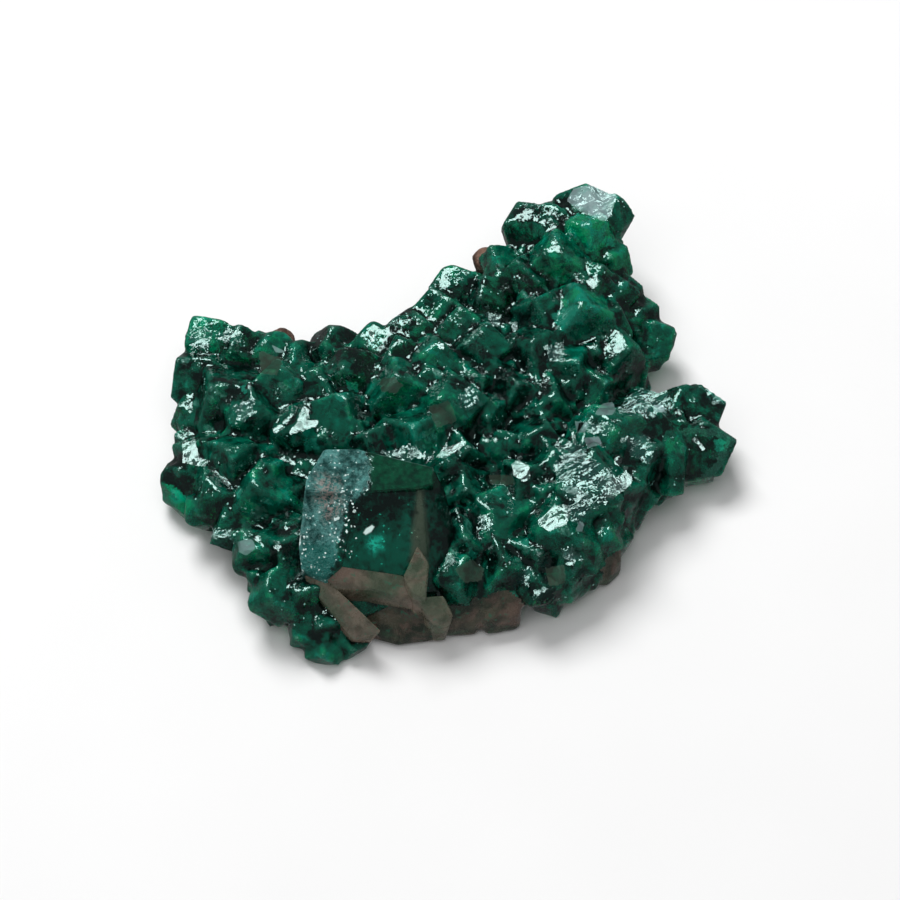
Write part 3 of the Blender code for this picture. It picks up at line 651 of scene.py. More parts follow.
# Painted glow, for light that seems to shine through
GRASS_GLOW = (0.0, 0.80, 0.36, 1)
SEA_GLOW = (0.0, 0.85, 0.55, 1)
# A painted highlight on pointed edges
EDGE_HIGHLIGHT_GREEN = (0.12, 0.65, 0.50, 1)
# Painted sparkles
SPARKLE_GREEN = (0.45, 0.95, 0.85, 1)

# Colours of the great crystal. The window green is painted lit at its foot, the sparkle green and glint white
# are painted sparkles and glints, the blob green is a painted glow and the rear edge colour a painted
# highlight
WINDOW_DARK = (0.0, 0.010, 0.008, 1)
WINDOW_GREEN = (0.0, 0.32, 0.20, 1)
WINDOW_SPARKLE = (0.02, 0.42, 0.29, 1)
BROW_DARK = (0.0, 0.085, 0.045, 1)
BROW_GREEN = (0.0, 0.27, 0.12, 1)
BLOB_GREEN = (0.02, 0.75, 0.52, 1)
RIDGE_GREY = (0.23, 0.32, 0.22, 1)
ICE_DARK = (0.0, 0.055, 0.050, 1)
ICE_PALE = (0.13, 0.44, 0.41, 1)
RIME_WHITE = (0.45, 0.62, 0.60, 1)
PINK_EARTH = (0.50, 0.36, 0.33, 1)
LOBE_TEAL = (0.0, 0.17, 0.14, 1)
GLINT_WHITE = (0.80, 1.0, 0.96, 1)
REAR_EDGE_HIGHLIGHT = (0.4, 0.7, 0.65, 1)

# Colours of the film on broken faces, in the open and in painted shade, with pinkish patches of painted
# reflection, and of the rock
SMOKE_DARK = (0.095, 0.092, 0.062, 1)
SMOKE_PALE = (0.22, 0.19, 0.140, 1)
SHADE_DARK = (0.018, 0.030, 0.018, 1)
SHADE_PALE = (0.095, 0.090, 0.060, 1)
PINK_BROWN = (0.26, 0.15, 0.125, 1)
OLIVE = (0.04, 0.12, 0.065, 1)
MOSS_GREEN = (0.0, 0.20, 0.11, 1)
ROCK_DARK = (0.045, 0.022, 0.014, 1)
ROCK_BROWN = (0.20, 0.11, 0.075, 1)
ROCK_PINK = (0.42, 0.30, 0.24, 1)

# The studio: its paper floor, the strength of the white all round, and the heading, height above the horizon,
# distance, size and power of each lamp
PAPER_GREY = (0.86, 0.86, 0.86, 1)
PAPER_WHITE = (0.90, 0.90, 0.90, 1)
FLOOR_SIZE = 1200.0
KEY_LAMP = (118.0, 58.0, 700.0, 320.0, 4.2)
FILL_LAMP = (250.0, 74.0, 800.0, 800.0, 2.6)
WORLD_STRENGTH = 0.16


def seen_at(right, up, height):
    """The point of that height, in mm, on the sight line that passes right and up of the aim."""
    through = AIM + Vector((right, 0, 0)) + PICTURE_UP * up
    ray = through - EYE
    return EYE + ray * ((height - EYE.z) / ray.z)


def picture_place(point):
    """Where the eye sees a point in mm, right and up of the aim."""
    ray = point - EYE
    ray = ray * (EYE_DISTANCE / -ray.dot(TOWARDS_EYE))
    return Vector((ray.x, ray.dot(PICTURE_UP)))


def direction(heading, tilt):
    """The unit vector that tilts away from +Z by tilt degrees towards a compass heading."""
    h = math.radians(heading)
    t = math.radians(tilt)
    return Vector((math.sin(t) * math.cos(h), math.sin(t) * math.sin(h), math.cos(t)))


def mesh_object(name, bm, collection):
    """A new object in a collection, with a bmesh as its mesh."""
    mesh = bpy.data.meshes.new(name)
    bm.to_mesh(mesh)
    bm.free()
    made = bpy.data.objects.new(name, mesh)
    collection.objects.link(made)
    return made


def add_boolean(base, operation):
    """A boolean modifier that carries over the materials of what it joins or cuts with."""
    made = base.modifiers.new("boolean", "BOOLEAN")
    made.operation = operation
    made.solver = "MANIFOLD"
    made.material_mode = "TRANSFER"
    return made


def apply_modifiers(base):
    """Makes the mesh that an object's modifiers give its own, and takes them off."""
    bpy.context.view_layer.update()
    evaluated = base.evaluated_get(bpy.context.evaluated_depsgraph_get())
    mesh = bpy.data.meshes.new_from_object(evaluated)
    base.modifiers.clear()
    base.data = mesh


def slice_off(bm, point, normal):
    """Cuts a convex solid by a plane and closes the cut with one flat face."""
    geometry = bm.verts[:] + bm.edges[:] + bm.faces[:]
    bmesh.ops.bisect_plane(bm, geom=geometry, plane_co=point, plane_no=normal, clear_outer=True)
    bmesh.ops.holes_fill(bm, edges=bm.edges, sides=0)


def wear_edges(bm, radius):
    """Blunts every edge of a solid of that radius, or rounds it on a large one, and marks the worn faces,
    which take a painted highlight on the great crystal's rear edge.
    """
    width = min(radius * EDGE_SHARE, WIDEST_EDGE)
    segments = 2 if radius > ROUNDED_FROM else 1
    worn_layer = bm.faces.layers.float.new("worn_and_highlit")
    made = bmesh.ops.bevel(
        bm, geom=bm.edges[:], offset=width, affect="EDGES", segments=segments, profile=0.5, clamp_overlap=True
    )
    for face in made["faces"]:
        face[worn_layer] = 1.0


def add_end_faces(bm, radius, blunt, rng, wild):
    """Cuts the three sloping end faces on a prism whose ideal tip is at the origin."""
    for side in range(RHOMB_SIDES):
        around = PRISM_EDGE_TURN + 2 * math.pi * side / RHOMB_SIDES
        slope = RHOMB_TILT + wild.uniform(-STRAY_SLOPE, STRAY_SLOPE)
        outward = Vector((math.cos(around), math.sin(around), 0))
        normal = outward * math.sin(slope) + UPRIGHT * math.cos(slope)
        set_back = radius * rng.uniform(0, DEEPEST_END_FACE)
        slice_off(bm, UPRIGHT * blunt - normal * set_back, normal)


def crystal_solid(tip, axis, radius, root, rng, turn=None):
    """A dioptase crystal with its tip at a point and its root that far down its axis."""
    wild = random.Random(tip.x * WILD_SPREAD + tip.y)
    blunt = radius * wild.uniform(*BLUNT_SHARE)
    if axis.z < math.cos(BLUNT_MOST_LEAN):
        blunt = 0.0
    rise = radius * math.tan(RHOMB_TILT) + radius * SPARE_RISE
    depth = root + rise
    bm = bmesh.new()
    bmesh.ops.create_cone(
        bm, cap_ends=True, segments=PRISM_SIDES, radius1=radius, radius2=radius, depth=depth
    )
    bmesh.ops.scale(bm, vec=(1, rng.uniform(NARROWEST, 1), 1), verts=bm.verts)
    bmesh.ops.translate(bm, vec=(0, 0, rise - depth / 2), verts=bm.verts)
    add_end_faces(bm, radius, blunt, rng, wild)
    if blunt:
        slice_off(bm, Vector((0, 0, 0)), direction(wild.uniform(0, 360), wild.uniform(0, BLUNT_TILT)))
    centre = Vector((0, 0, -radius * CHIP_CENTRE))
    for _ in range(CHIP_COUNT):
        normal = direction(wild.uniform(0, 360), wild.uniform(*CHIP_TILT))
        slice_off(bm, centre + normal * radius * wild.uniform(*CHIP_REACH), normal)
    turned = rng.uniform(0, 2 * math.pi)
    if turn is not None:
        turned = turn
    leaned = UPRIGHT.rotation_difference(axis).to_matrix().to_4x4()
    place = Matrix.Translation(tip) @ leaned @ Matrix.Rotation(turned, 4, "Z")
    bmesh.ops.transform(bm, matrix=place, verts=bm.verts)
    return bm, turned


class Cluster:
    """Everything that has grown together, as separate closed solids until it is joined."""

    def __init__(self, materials):
        self.materials = materials
        self.solids = bpy.data.collections.new("grown_together")
        self.rng = random.Random(SHADE_SEED)
        bpy.context.scene.collection.children.link(self.solids)

    def add(self, name, bm, kind, axis=UPRIGHT, shade=None):
        """Keeps a solid, with the axis it grew along and its own shade on every face."""
        if shade is None:
            shade = self.rng.random()
        bmesh.ops.recalc_face_normals(bm, faces=bm.faces)
        shade_layer = bm.faces.layers.float.new("shade")
        axis_layer = bm.faces.layers.float_vector.new("axis")
        for face in bm.faces:
            face[shade_layer] = shade
            face[axis_layer] = axis
        made = mesh_object(name, bm, self.solids)
        made.data.materials.append(self.materials[kind])
        return made

    def add_crystal(self, name, tip, axis, radius, rng, shade=None):
        """A clear crystal that reaches down its axis into the crust, with its growth steps."""
        down = (tip.z - ROOT_HEIGHT) / max(axis.z, FLATTEST_RISE)
        root = max(down, SHORTEST_ROOT * radius)
        bm, turn = crystal_solid(tip, axis, radius, root, rng)
        wear_edges(bm, radius)
        self.add(name, bm, "clear", axis, shade)
        if radius > STEPS_FROM:
            self.add_growth_steps(name, tip, axis, radius, root, turn, shade)

    def add_growth_steps(self, name, tip, axis, radius, root, turn, shade):
        """Slimmer crystals on the same axis, which make steps and ledges on a large one's faces."""
        rng = random.Random(name)
        for step in range(rng.randint(*STEP_COUNT)):
            slim = radius * rng.uniform(*STEP_SHARE)
            aside = axis.orthogonal().normalized() * radius * rng.uniform(*STEP_ASIDE)
            aside = Matrix.Rotation(rng.uniform(0, 2 * math.pi), 3, axis) @ aside
            below = aside.length * math.tan(RHOMB_TILT) * rng.uniform(*STEP_BELOW)
            sway = Vector([rng.uniform(-STEP_SWAY, STEP_SWAY) for _ in range(3)])
            own_axis = (axis + sway).normalized()
            own_root = max(root - below, slim)
            own_tip = tip + aside - axis * below
            bm, _ = crystal_solid(own_tip, own_axis, slim, own_root, rng, turn)
            wear_edges(bm, slim)
            self.add(f"{name}_step_{step}", bm, "clear", own_axis, shade)

    def join(self, base):
        """Joins the solids made so far to base, and takes them away."""
        union = add_boolean(base, "UNION")
        union.operand_type = "COLLECTION"
        union.collection = self.solids
        apply_modifiers(base)
        for solid in list(self.solids.objects):
            bpy.data.objects.remove(solid)


def add_listed_crystals(cluster):
    """The listed crystals, the stouter ones each with a smaller twin grown into its shoulder."""
    for number, crystal in enumerate(CRYSTALS):
        rng = random.Random(number)
        tip = seen_at(crystal.right, crystal.up, crystal.height)
        axis = direction(crystal.heading, crystal.lean)
        shade = BRIGHT_CRYSTALS.get((crystal.right, crystal.up), rng.random())
        radius = crystal.radius
        if crystal.height > SWOLLEN_FROM and crystal.up < SWOLLEN_UP_TO:
            radius *= SWELL
            tip = tip - axis * radius * (SWELL - 1)
        cluster.add_crystal(f"crystal_{number:03d}", tip, axis, radius, rng, shade)
        if radius < TWIN_FROM or crystal.lean > TWIN_MOST_LEAN:
            continue
        twin_heading = crystal.heading + rng.uniform(-TWIN_TURN, TWIN_TURN)
        twin_axis = direction(twin_heading, crystal.lean + rng.uniform(-TWIN_LEAN, TWIN_LEAN))
        twin_radius = radius * TWIN_SHARE * rng.uniform(*TWIN_SHARE_SPREAD)
        aside = direction(rng.uniform(0, 360), 90) * radius * rng.uniform(*TWIN_ASIDE)
        twin_tip = tip + aside - axis * radius * rng.uniform(*TWIN_BELOW)
        cluster.add_crystal(f"twin_{number:03d}", twin_tip, twin_axis, twin_radius, rng)


def neighbours(place):
    """The listed crystals within reach of a place in the picture, each with its distance, nearest first."""
    near = []
    for crystal in CRYSTALS:
        distance = (Vector((crystal.right, crystal.up)) - place).length
        if distance < FILL_REACH:
            near.append((distance, crystal))
    return sorted(near)


def is_bare(place, near):
    """Whether a place between listed crystals is free, and they stand all round it."""
    if len(near) < FEWEST_NEIGHBOURS or near[0][0] < FILL_CLEAR:
        return False
    if (Vector(GREAT_MIDDLE) - place).length < GREAT_CLEAR:
        return False
    pull = Vector((0, 0))
    for _, crystal in near:
        pull += (Vector((crystal.right, crystal.up)) - place).normalized()
    return pull.length / len(near) < FILL_ONE_SIDED


def add_filling_crystals(cluster):
    """Smaller crystals between the listed ones, as high and as inclined as their neighbours."""
    rng = random.Random(FILL_SEED)
    placed = []
    for column, row in itertools.product(range(FILL_COLUMNS), range(FILL_ROWS)):
        jitter = Vector((rng.uniform(-FILL_JITTER, FILL_JITTER), rng.uniform(-FILL_JITTER, FILL_JITTER)))
        here = Vector(FILL_FIRST) + Vector((column, row)) * FILL_STEP + jitter
        near = neighbours(here)
        crowded = any((here - other).length < FILL_CLEAR for other in placed)
        if crowded or not is_bare(here, near):
            continue
        placed.append(here)
        height = sum(crystal.height for _, crystal in near) / len(near) - FILL_SINK
        axis = Vector((0, 0, 0))
        for distance, crystal in near:
            axis += direction(crystal.heading, crystal.lean) / distance
        sway = direction(rng.uniform(0, 360), 90) * FILL_SWAY
        axis = (axis.normalized() + sway).normalized()
        radius = rng.uniform(*FILL_RADIUS)
        cluster.add_crystal(f"filling_{len(placed):03d}", seen_at(*here, height), axis, radius, rng)


def add_rim_row(cluster):
    """The crystals that stick out sideways all along the rim, except on the broken front edge."""
    points = rim_points(0.0)
    for number, (start, end) in enumerate(zip(points, points[1:] + points[:1])):
        along = end - start
        heading = math.degrees(math.atan2(-along.x, along.y))
        if round(heading) % 360 in BROKEN_HEADINGS:
            continue
        rng = random.Random(number)
        count = max(1, round(along.length / RIM_ROW_STEP))
        for k in range(count):
            place = start + along * ((k + 0.5) / count)
            lean = RIM_ROW_LEAN + rng.uniform(-RIM_ROW_LEAN_SPREAD, RIM_ROW_LEAN_SPREAD)
            height = RIM_ROW_HEIGHTS[k % len(RIM_ROW_HEIGHTS)]
            height += rng.uniform(-RIM_ROW_UNEVEN, RIM_ROW_UNEVEN)
            tip = Vector((place.x, place.y, height)) + direction(heading, 90) * RIM_ROW_OUT
            axis = direction(heading + rng.uniform(-RIM_ROW_TURN, RIM_ROW_TURN), lean)
            radius = rng.uniform(*RIM_ROW_RADIUS)
            cluster.add_crystal(f"rim_{number:02d}_{k}", tip, axis, radius, rng)


def on_plane(right, up, point, normal):
    """Where the sight line that passes right and up of the aim meets a plane."""
    sight = (seen_at(right, up, 0) - EYE).normalized()
    return EYE + sight * ((point - EYE).dot(normal) / sight.dot(normal))


def block_solid(corners, foot, narrowed):
    """The convex solid under an upper face with these corners, narrowed at its foot."""
    bm = bmesh.new()
    middle = sum(corners, Vector()) / len(corners)
    for point in corners:
        bm.verts.new(point)
        away = middle + (point - middle) * narrowed
        bm.verts.new((away.x, away.y, foot))
    made = bmesh.ops.convex_hull(bm, input=bm.verts)
    loose = [vert for vert in made["geom_interior"] if isinstance(vert, bmesh.types.BMVert)]
    bmesh.ops.delete(bm, geom=loose, context="VERTS")
    bmesh.ops.dissolve_limit(bm, angle_limit=NEARLY_FLAT, verts=bm.verts, edges=bm.edges)
    return bm


def add_blocks(cluster, blocks):
    """A stack of blocks, each under its own tilted face."""
    for name, block in blocks.items():
        normal = direction(block.heading, block.tilt)
        point = seen_at(*block.place)
        corners = [on_plane(*corner, point, normal) for corner in block.corners]
        bm = block_solid(corners, block.foot, block.narrowed)
        wear_edges(bm, GREAT_EDGE_RADIUS)
        cluster.add(name, bm, block.kind, shade=BLOCK_SHADE)


def beyond(place, corners):
    """How far a place lies outside a polygon, less than 0 inside it."""
    nearest = FRAME_WIDTH
    inside = False
    for start, end in zip(corners, corners[1:] + corners[:1]):
        start = Vector(start)
        along = Vector(end) - start
        share = (place - start).dot(along) / along.length_squared
        nearest = min(nearest, (place - start - along * min(1, max(0, share))).length)
        if (start.y > place.y) != (start.y + along.y > place.y):
            inside ^= place.x < start.x + along.x * (place.y - start.y) / along.y
    return -nearest if inside else nearest


def blurred_box(corners):
    """The left, right, low and high ends of a polygon with the blur round it."""
    rights, ups = zip(*corners)
    ends = (min(rights), max(rights), min(ups), max(ups))
    return [end + side * CLEAVAGE_BLUR for end, side in zip(ends, (-1, 1, -1, 1))]


def mark_cleavages(mesh):
    """Marks each vertex with how far it is inside a cleavage face of each kind, as it is seen."""
    places = [picture_place(vert.co / MM) for vert in mesh.vertices]
    for kind, faces in CLEAVAGES.items():
        marks = [0.0] * len(places)
        for corners in faces:
            left, right, low, high = blurred_box(corners)
            for number, seen in enumerate(places):
                if left < seen.x < right and low < seen.y < high:
                    mark = 0.5 - 0.5 * beyond(seen, corners) / CLEAVAGE_BLUR
                    marks[number] = max(marks[number], min(1.0, mark))
        mesh.attributes.new(kind, "FLOAT", "POINT").data.foreach_set("value", marks)


def surface_tree(base):
    """A triangulated copy of the surface as it is now, and a tree to search it by."""
    bm = bmesh.new()
    bm.from_mesh(base.data)
    bmesh.ops.triangulate(bm, faces=bm.faces)
    return bm, BVHTree.FromBMesh(bm)


def melt(base):
    """Rounds the joined crystals off, and carries each face's own surface over from the sharp ones."""
    sharp, tree = surface_tree(base)
    sharp.faces.ensure_lookup_table()
    kinds = list(base.data.materials)
    remesh = base.modifiers.new("melt together", "REMESH")
    remesh.mode = "VOXEL"
    remesh.voxel_size = MELT_GRID
    soften = base.modifiers.new("soften", "SMOOTH")
    soften.factor = MELT_FACTOR
    soften.iterations = MELT_STEPS
    apply_modifiers(base)
    base.data.materials.clear()
    for kind in kinds:
        base.data.materials.append(kind)
    bm = bmesh.new()
    bm.from_mesh(base.data)
    new_layers = [bm.faces.layers.float.new("shade"), bm.faces.layers.float.new("worn_and_highlit")]
    new_layers.append(bm.faces.layers.float_vector.new("axis"))
    old_layers = [sharp.faces.layers.float["shade"], sharp.faces.layers.float["worn_and_highlit"]]
    old_layers.append(sharp.faces.layers.float_vector["axis"])
    for face in bm.faces:
        _, _, number, _ = tree.find_nearest(face.calc_center_median())
        source = sharp.faces[number]
        face.material_index = source.material_index
        face.smooth = True
        for new, old in zip(new_layers, old_layers):
            face[new] = source[old]
    bm.to_mesh(base.data)
    bm.free()
    sharp.free()


def rim_points(inset):
    """The rim in plan, in mm, drawn in by an inset towards the middle of the crust."""
    points = [seen_at(right, up, SHOULDER_HEIGHT).to_2d() for right, up in RIM]
    middle = seen_at(*CRUST_MIDDLE, SHOULDER_HEIGHT).to_2d()
    drawn_in = []
    for number, point in enumerate(points):
        own = inset + BROKEN_INSET * (inset > 0 and number in BROKEN_RIM)
        drawn_in.append(point + (middle - point).normalized() * own)
    return drawn_in


def slab(levels):
    """A closed slab: the rim drawn in by each level's inset and stacked at its height."""
    bm = bmesh.new()
    inset, height = levels[0]
    ring = [bm.verts.new((point.x, point.y, height)) for point in rim_points(inset)]
    face = bm.faces.new(ring)
    for inset, height in levels[1:]:
        grown = bmesh.ops.extrude_discrete_faces(bm, faces=[face])
        face = grown["faces"][0]
        for vert, point in zip(face.verts, rim_points(inset)):
            vert.co = Vector((point.x, point.y, height))
    bmesh.ops.holes_fill(bm, edges=bm.edges, sides=0)
    bmesh.ops.triangulate(bm, faces=bm.faces)
    return bm


def add_matrix_knobs(cluster):
    """The lumps of matrix that show between the crystals."""
    rng = random.Random(KNOB_SEED)
    for number, (right, up, height, radius) in enumerate(MATRIX_KNOBS):
        bm = bmesh.new()
        bmesh.ops.create_icosphere(bm, subdivisions=2, radius=radius)
        for vert in bm.verts:
            vert.co *= rng.uniform(*KNOB_ROUGHNESS)
        bmesh.ops.translate(bm, vec=seen_at(right, up, height), verts=bm.verts)
        cluster.add(f"matrix_knob_{number}", bm, "earthy")


def within_box(place):
    """Whether a place in mm lies well inside the box of the solid."""
    low, high = CAD_BOX
    return all(low[k] + BOX_MARGIN * MM < place[k] * MM < high[k] - BOX_MARGIN * MM for k in range(3))


def random_places(bm, rng, clear):
    """Places all over the upper and outer clear faces, each with the normal and the crystal's axis there."""
    axis_layer = bm.faces.layers.float_vector["axis"]
    for face in bm.faces:
        if face.normal.z < SPROUT_UNDERSIDE or face.material_index != clear:
            continue
        count = int(face.calc_area() / SPROUT_AREA + rng.random())
        corners = [vert.co for vert in face.verts]
        for _ in range(count):
            a, b = sorted((rng.random(), rng.random()))
            place = corners[0] * a + corners[1] * (b - a) + corners[2] * (1 - b)
            yield place, face.normal.copy(), Vector(face[axis_layer])


def hollowness(tree, place, normal):
    """The share of the outlook from a place that neighbouring crystals shut off."""
    upright = UPRIGHT.rotation_difference(normal)
    start = place + normal * HOLLOW_LIFT
    shut = 0
    for ray in range(HOLLOW_RAYS):
        outlook = upright @ direction(360 * ray / HOLLOW_RAYS, HOLLOW_TILT)
        hit = tree.ray_cast(start, outlook, HOLLOW_REACH)
        shut += hit[0] is not None
    return shut / HOLLOW_RAYS


def sprout_places(base):
    """Where the smallest crystals may grow: place, axis, radius and how far the tip rises."""
    bm, tree = surface_tree(base)
    rng = random.Random(SPROUT_SEED)
    found = []
    clear = base.data.materials.find("clear_dioptase")
    for place, normal, axis in random_places(bm, rng, clear):
        if hollowness(tree, place, normal) >= HOLLOW_SHARE:
            sway = Vector([rng.uniform(-SPROUT_SWAY, SPROUT_SWAY) for _ in range(3)])
            own_axis = (normal + axis + sway).normalized()
            found.append((place, own_axis, rng.uniform(*HOLLOW_RADIUS), rng.uniform(*HOLLOW_RISE)))
        elif rng.random() < OVERGROWN_SHARE:
            found.append((place, axis, rng.uniform(*OVERGROWN_RADIUS), rng.uniform(*OVERGROWN_RISE)))
    bm.free()
    return found, rng


def add_sprouts(cluster, base):
    """The smallest crystals, crowded in the hollows and scattered over the open faces."""
    found, rng = sprout_places(base)
    grid = KDTree(len(found))
    for number, (place, *_) in enumerate(found):
        grid.insert(place, number)
    grid.balance()
    dropped = set()
    for number, (place, axis, radius, rise) in enumerate(found):
        if number in dropped:
            continue
        dropped.update(other for _, other, _ in grid.find_range(place, SPROUT_CLEAR) if other > number)
        tip = place + axis * rise
        if within_box(tip):
            solid, _ = crystal_solid(tip, axis, radius, SPROUT_ROOT, rng)
            cluster.add(f"sprout_{number:04d}", solid, "clear", axis)


def cut_underside(base):
    """Cuts the cluster off flat on Z = 0."""
    bm = bmesh.new()
    bmesh.ops.create_cube(bm, size=GROUND_SIZE)
    bmesh.ops.translate(bm, vec=(0, 0, -GROUND_SIZE / 2), verts=bm.verts)
    ground = mesh_object("ground", bm, bpy.context.scene.collection)
    ground.data.materials.append(bpy.data.materials["matrix_rock"])
    flat = add_boolean(base, "DIFFERENCE")
    flat.object = ground
    apply_modifiers(base)
    bpy.data.objects.remove(ground)


def shells(bm):
    """The connected shells of a mesh, each as its vertices, largest first."""
    left = set(bm.verts)
    found = []
    while left:
        shell = {left.pop()}
        edge_of_shell = list(shell)
        while edge_of_shell:
            vert = edge_of_shell.pop()
            for edge in vert.link_edges:
                other = edge.other_vert(vert)
                if other in left:
                    left.remove(other)
                    shell.add(other)
                    edge_of_shell.append(other)
        found.append(shell)
    return sorted(found, key=len, reverse=True)


def finish_mesh(base):
    """Fills hidden pockets, mends the slivers that joining leaves, and turns millimetres into metres."""
    bm = bmesh.new()
    bm.from_mesh(base.data)
    for pocket in shells(bm)[1:]:
        bmesh.ops.delete(bm, geom=list(pocket), context="VERTS")
    bmesh.ops.triangulate(bm, faces=bm.faces)
    bmesh.ops.remove_doubles(bm, verts=bm.verts, dist=SLIVER)
    touching = {face for edge in bm.edges if not edge.is_manifold for face in edge.link_faces}
    bmesh.ops.delete(bm, geom=list(touching), context="FACES")
    bmesh.ops.holes_fill(bm, edges=[edge for edge in bm.edges if edge.is_boundary], sides=0)
    bmesh.ops.triangulate(bm, faces=bm.faces)
    bmesh.ops.scale(bm, vec=(MM, MM, MM), verts=bm.verts)
    bm.to_mesh(base.data)
    bm.free()
    base.data.set_sharp_from_angle(angle=SHARP_ANGLE)
    mark_cleavages(base.data)


class Nodes:
    """Short calls for building one material's node tree. Places are in millimetres of the object."""

    def __init__(self, name):
        self.material = bpy.data.materials.new(name)
        self.material.use_nodes = True
        self.tree = self.material.node_tree
        self.shader = self.tree.nodes["Principled BSDF"]
        self.output = self.tree.nodes["Material Output"]
        coordinates = self.tree.nodes.new("ShaderNodeTexCoord")
        self.place = self.scaled(coordinates.outputs["Object"], 1 / MM)

    def add(self, kind, inputs=None, **settings):
        """A new node with these settings, and with numbers or links at its inputs."""
        made = self.tree.nodes.new(kind)
        for key, value in settings.items():
            setattr(made, key, value)
        for key, value in (inputs or {}).items():
            self.set(made, key, value)
        return made

    def set(self, node, key, value):
        if isinstance(value, bpy.types.NodeSocket):
            self.tree.links.new(value, node.inputs[key])
        else:
            node.inputs[key].default_value = value

    def use(self, **values):
        """Sets or links the shader's own sockets, named with underscores for spaces."""
        for key, value in values.items():
            self.set(self.shader, key.replace("_", " "), value)

    def noise(self, scale, detail, roughness=0.55, distortion=0.0):
        """Soft noise from 0 to 1, with that many lumps to a millimetre."""
        looks = {"Scale": scale, "Detail": detail, "Roughness": roughness, "Distortion": distortion}
        return self.add("ShaderNodeTexNoise", {"Vector": self.place, **looks}).outputs["Fac"]

    def cells(self, scale, place=None):
        """A random colour in each of so many cells to a millimetre."""
        made = self.add("ShaderNodeTexVoronoi", {"Vector": place or self.place, "Scale": scale})
        return made.outputs["Color"]

    def split(self, colour):
        """The three parts of a colour, each its own random number where the colour is a cell's."""
        return self.add("ShaderNodeSeparateColor", {"Color": colour}).outputs

    def attribute(self, name):
        return self.add("ShaderNodeAttribute", attribute_name=name).outputs["Fac"]

    def geometry(self, name):
        return self.add("ShaderNodeNewGeometry").outputs[name]

    def math(self, operation, a, b, clamp=False):
        """The result of one operation on two values, each a number or a socket."""
        return self.add("ShaderNodeMath", {0: a, 1: b}, operation=operation, use_clamp=clamp).outputs[0]

    def times(self, a, b):
        return self.math("MULTIPLY", a, b)

    def plus(self, total, *others):
        for other in others:
            total = self.math("ADD", total, other)
        return total

    def most(self, largest, *others):
        for other in others:
            largest = self.math("MAXIMUM", largest, other)
        return largest

    def above(self, value, limit):
        """1 where the value is above the limit, and 0 elsewhere."""
        return self.math("GREATER_THAN", value, limit)

    def vector(self, operation, a, b=(0, 0, 0)):
        return self.add("ShaderNodeVectorMath", {0: a, 1: b}, operation=operation).outputs[0]

    def scaled(self, vector, factor):
        return self.add("ShaderNodeVectorMath", {0: vector, "Scale": factor}, operation="SCALE").outputs[0]

    def along(self, axis):
        """How far each place lies along an axis."""
        made = self.add("ShaderNodeVectorMath", {0: self.place, 1: axis}, operation="DOT_PRODUCT")
        return made.outputs["Value"]

    def span(self, value, low, high, to_low=0.0, to_high=1.0):
        """The value's range from low to high, carried smoothly to another range and held at its ends."""
        ends = {"From Min": low, "From Max": high, "To Min": to_low, "To Max": to_high}
        made = self.add("ShaderNodeMapRange", {"Value": value, **ends}, interpolation_type="SMOOTHSTEP")
        return made.outputs["Result"]

    def blend(self, share, a, b):
        """Colour a, mixed with b by a share."""
        return self.add("ShaderNodeMix", {"Factor": share, 6: a, 7: b}, data_type="RGBA").outputs[2]

    def turn(self, share, a, b):
        """Direction a, turned to b by a share."""
        return self.add("ShaderNodeMix", {"Factor": share, 4: a, 5: b}, data_type="VECTOR").outputs[1]

    def faceted(self, normal, *facets):
        """A direction that turns its own way in each of the cells given, by the amount given with them."""
        for cells, amount in facets:
            centred = self.vector("SUBTRACT", cells, (0.5, 0.5, 0.5))
            normal = self.vector("ADD", normal, self.scaled(centred, amount))
        return normal

    def unit(self, vector):
        return self.vector("NORMALIZE", vector)

    def relief(self, height, strength, depth, **normal):
        """A surface with bumps up to that many millimetres deep."""
        looks = {"Height": height, "Strength": strength, "Distance": depth * MM}
        return self.add("ShaderNodeBump", {**looks, **normal}).outputs[0]

    def absorb(self):
        """Makes the solid absorb light on its way through, which leaves it green."""
        looks = {"Color": EMERALD_ABSORPTION, "Density": EMERALD_DENSITY}
        volume = self.add("ShaderNodeVolumeAbsorption", looks)
        self.tree.links.new(volume.outputs[0], self.output.inputs["Volume"])


def mirror_slope():
    """The normal of a face that mirrors the key lamp into the eye."""
    heading, height = KEY_LAMP[:2]
    return (TOWARDS_EYE + direction(heading, 90 - height)).normalized()


def drawn_out(nodes, axis):
    """Places drawn out along one direction, which makes cells into streaks."""
    shift = nodes.scaled(axis, nodes.times(nodes.along(axis), STREAK_SHARE))
    return nodes.vector("SUBTRACT", nodes.place, shift)


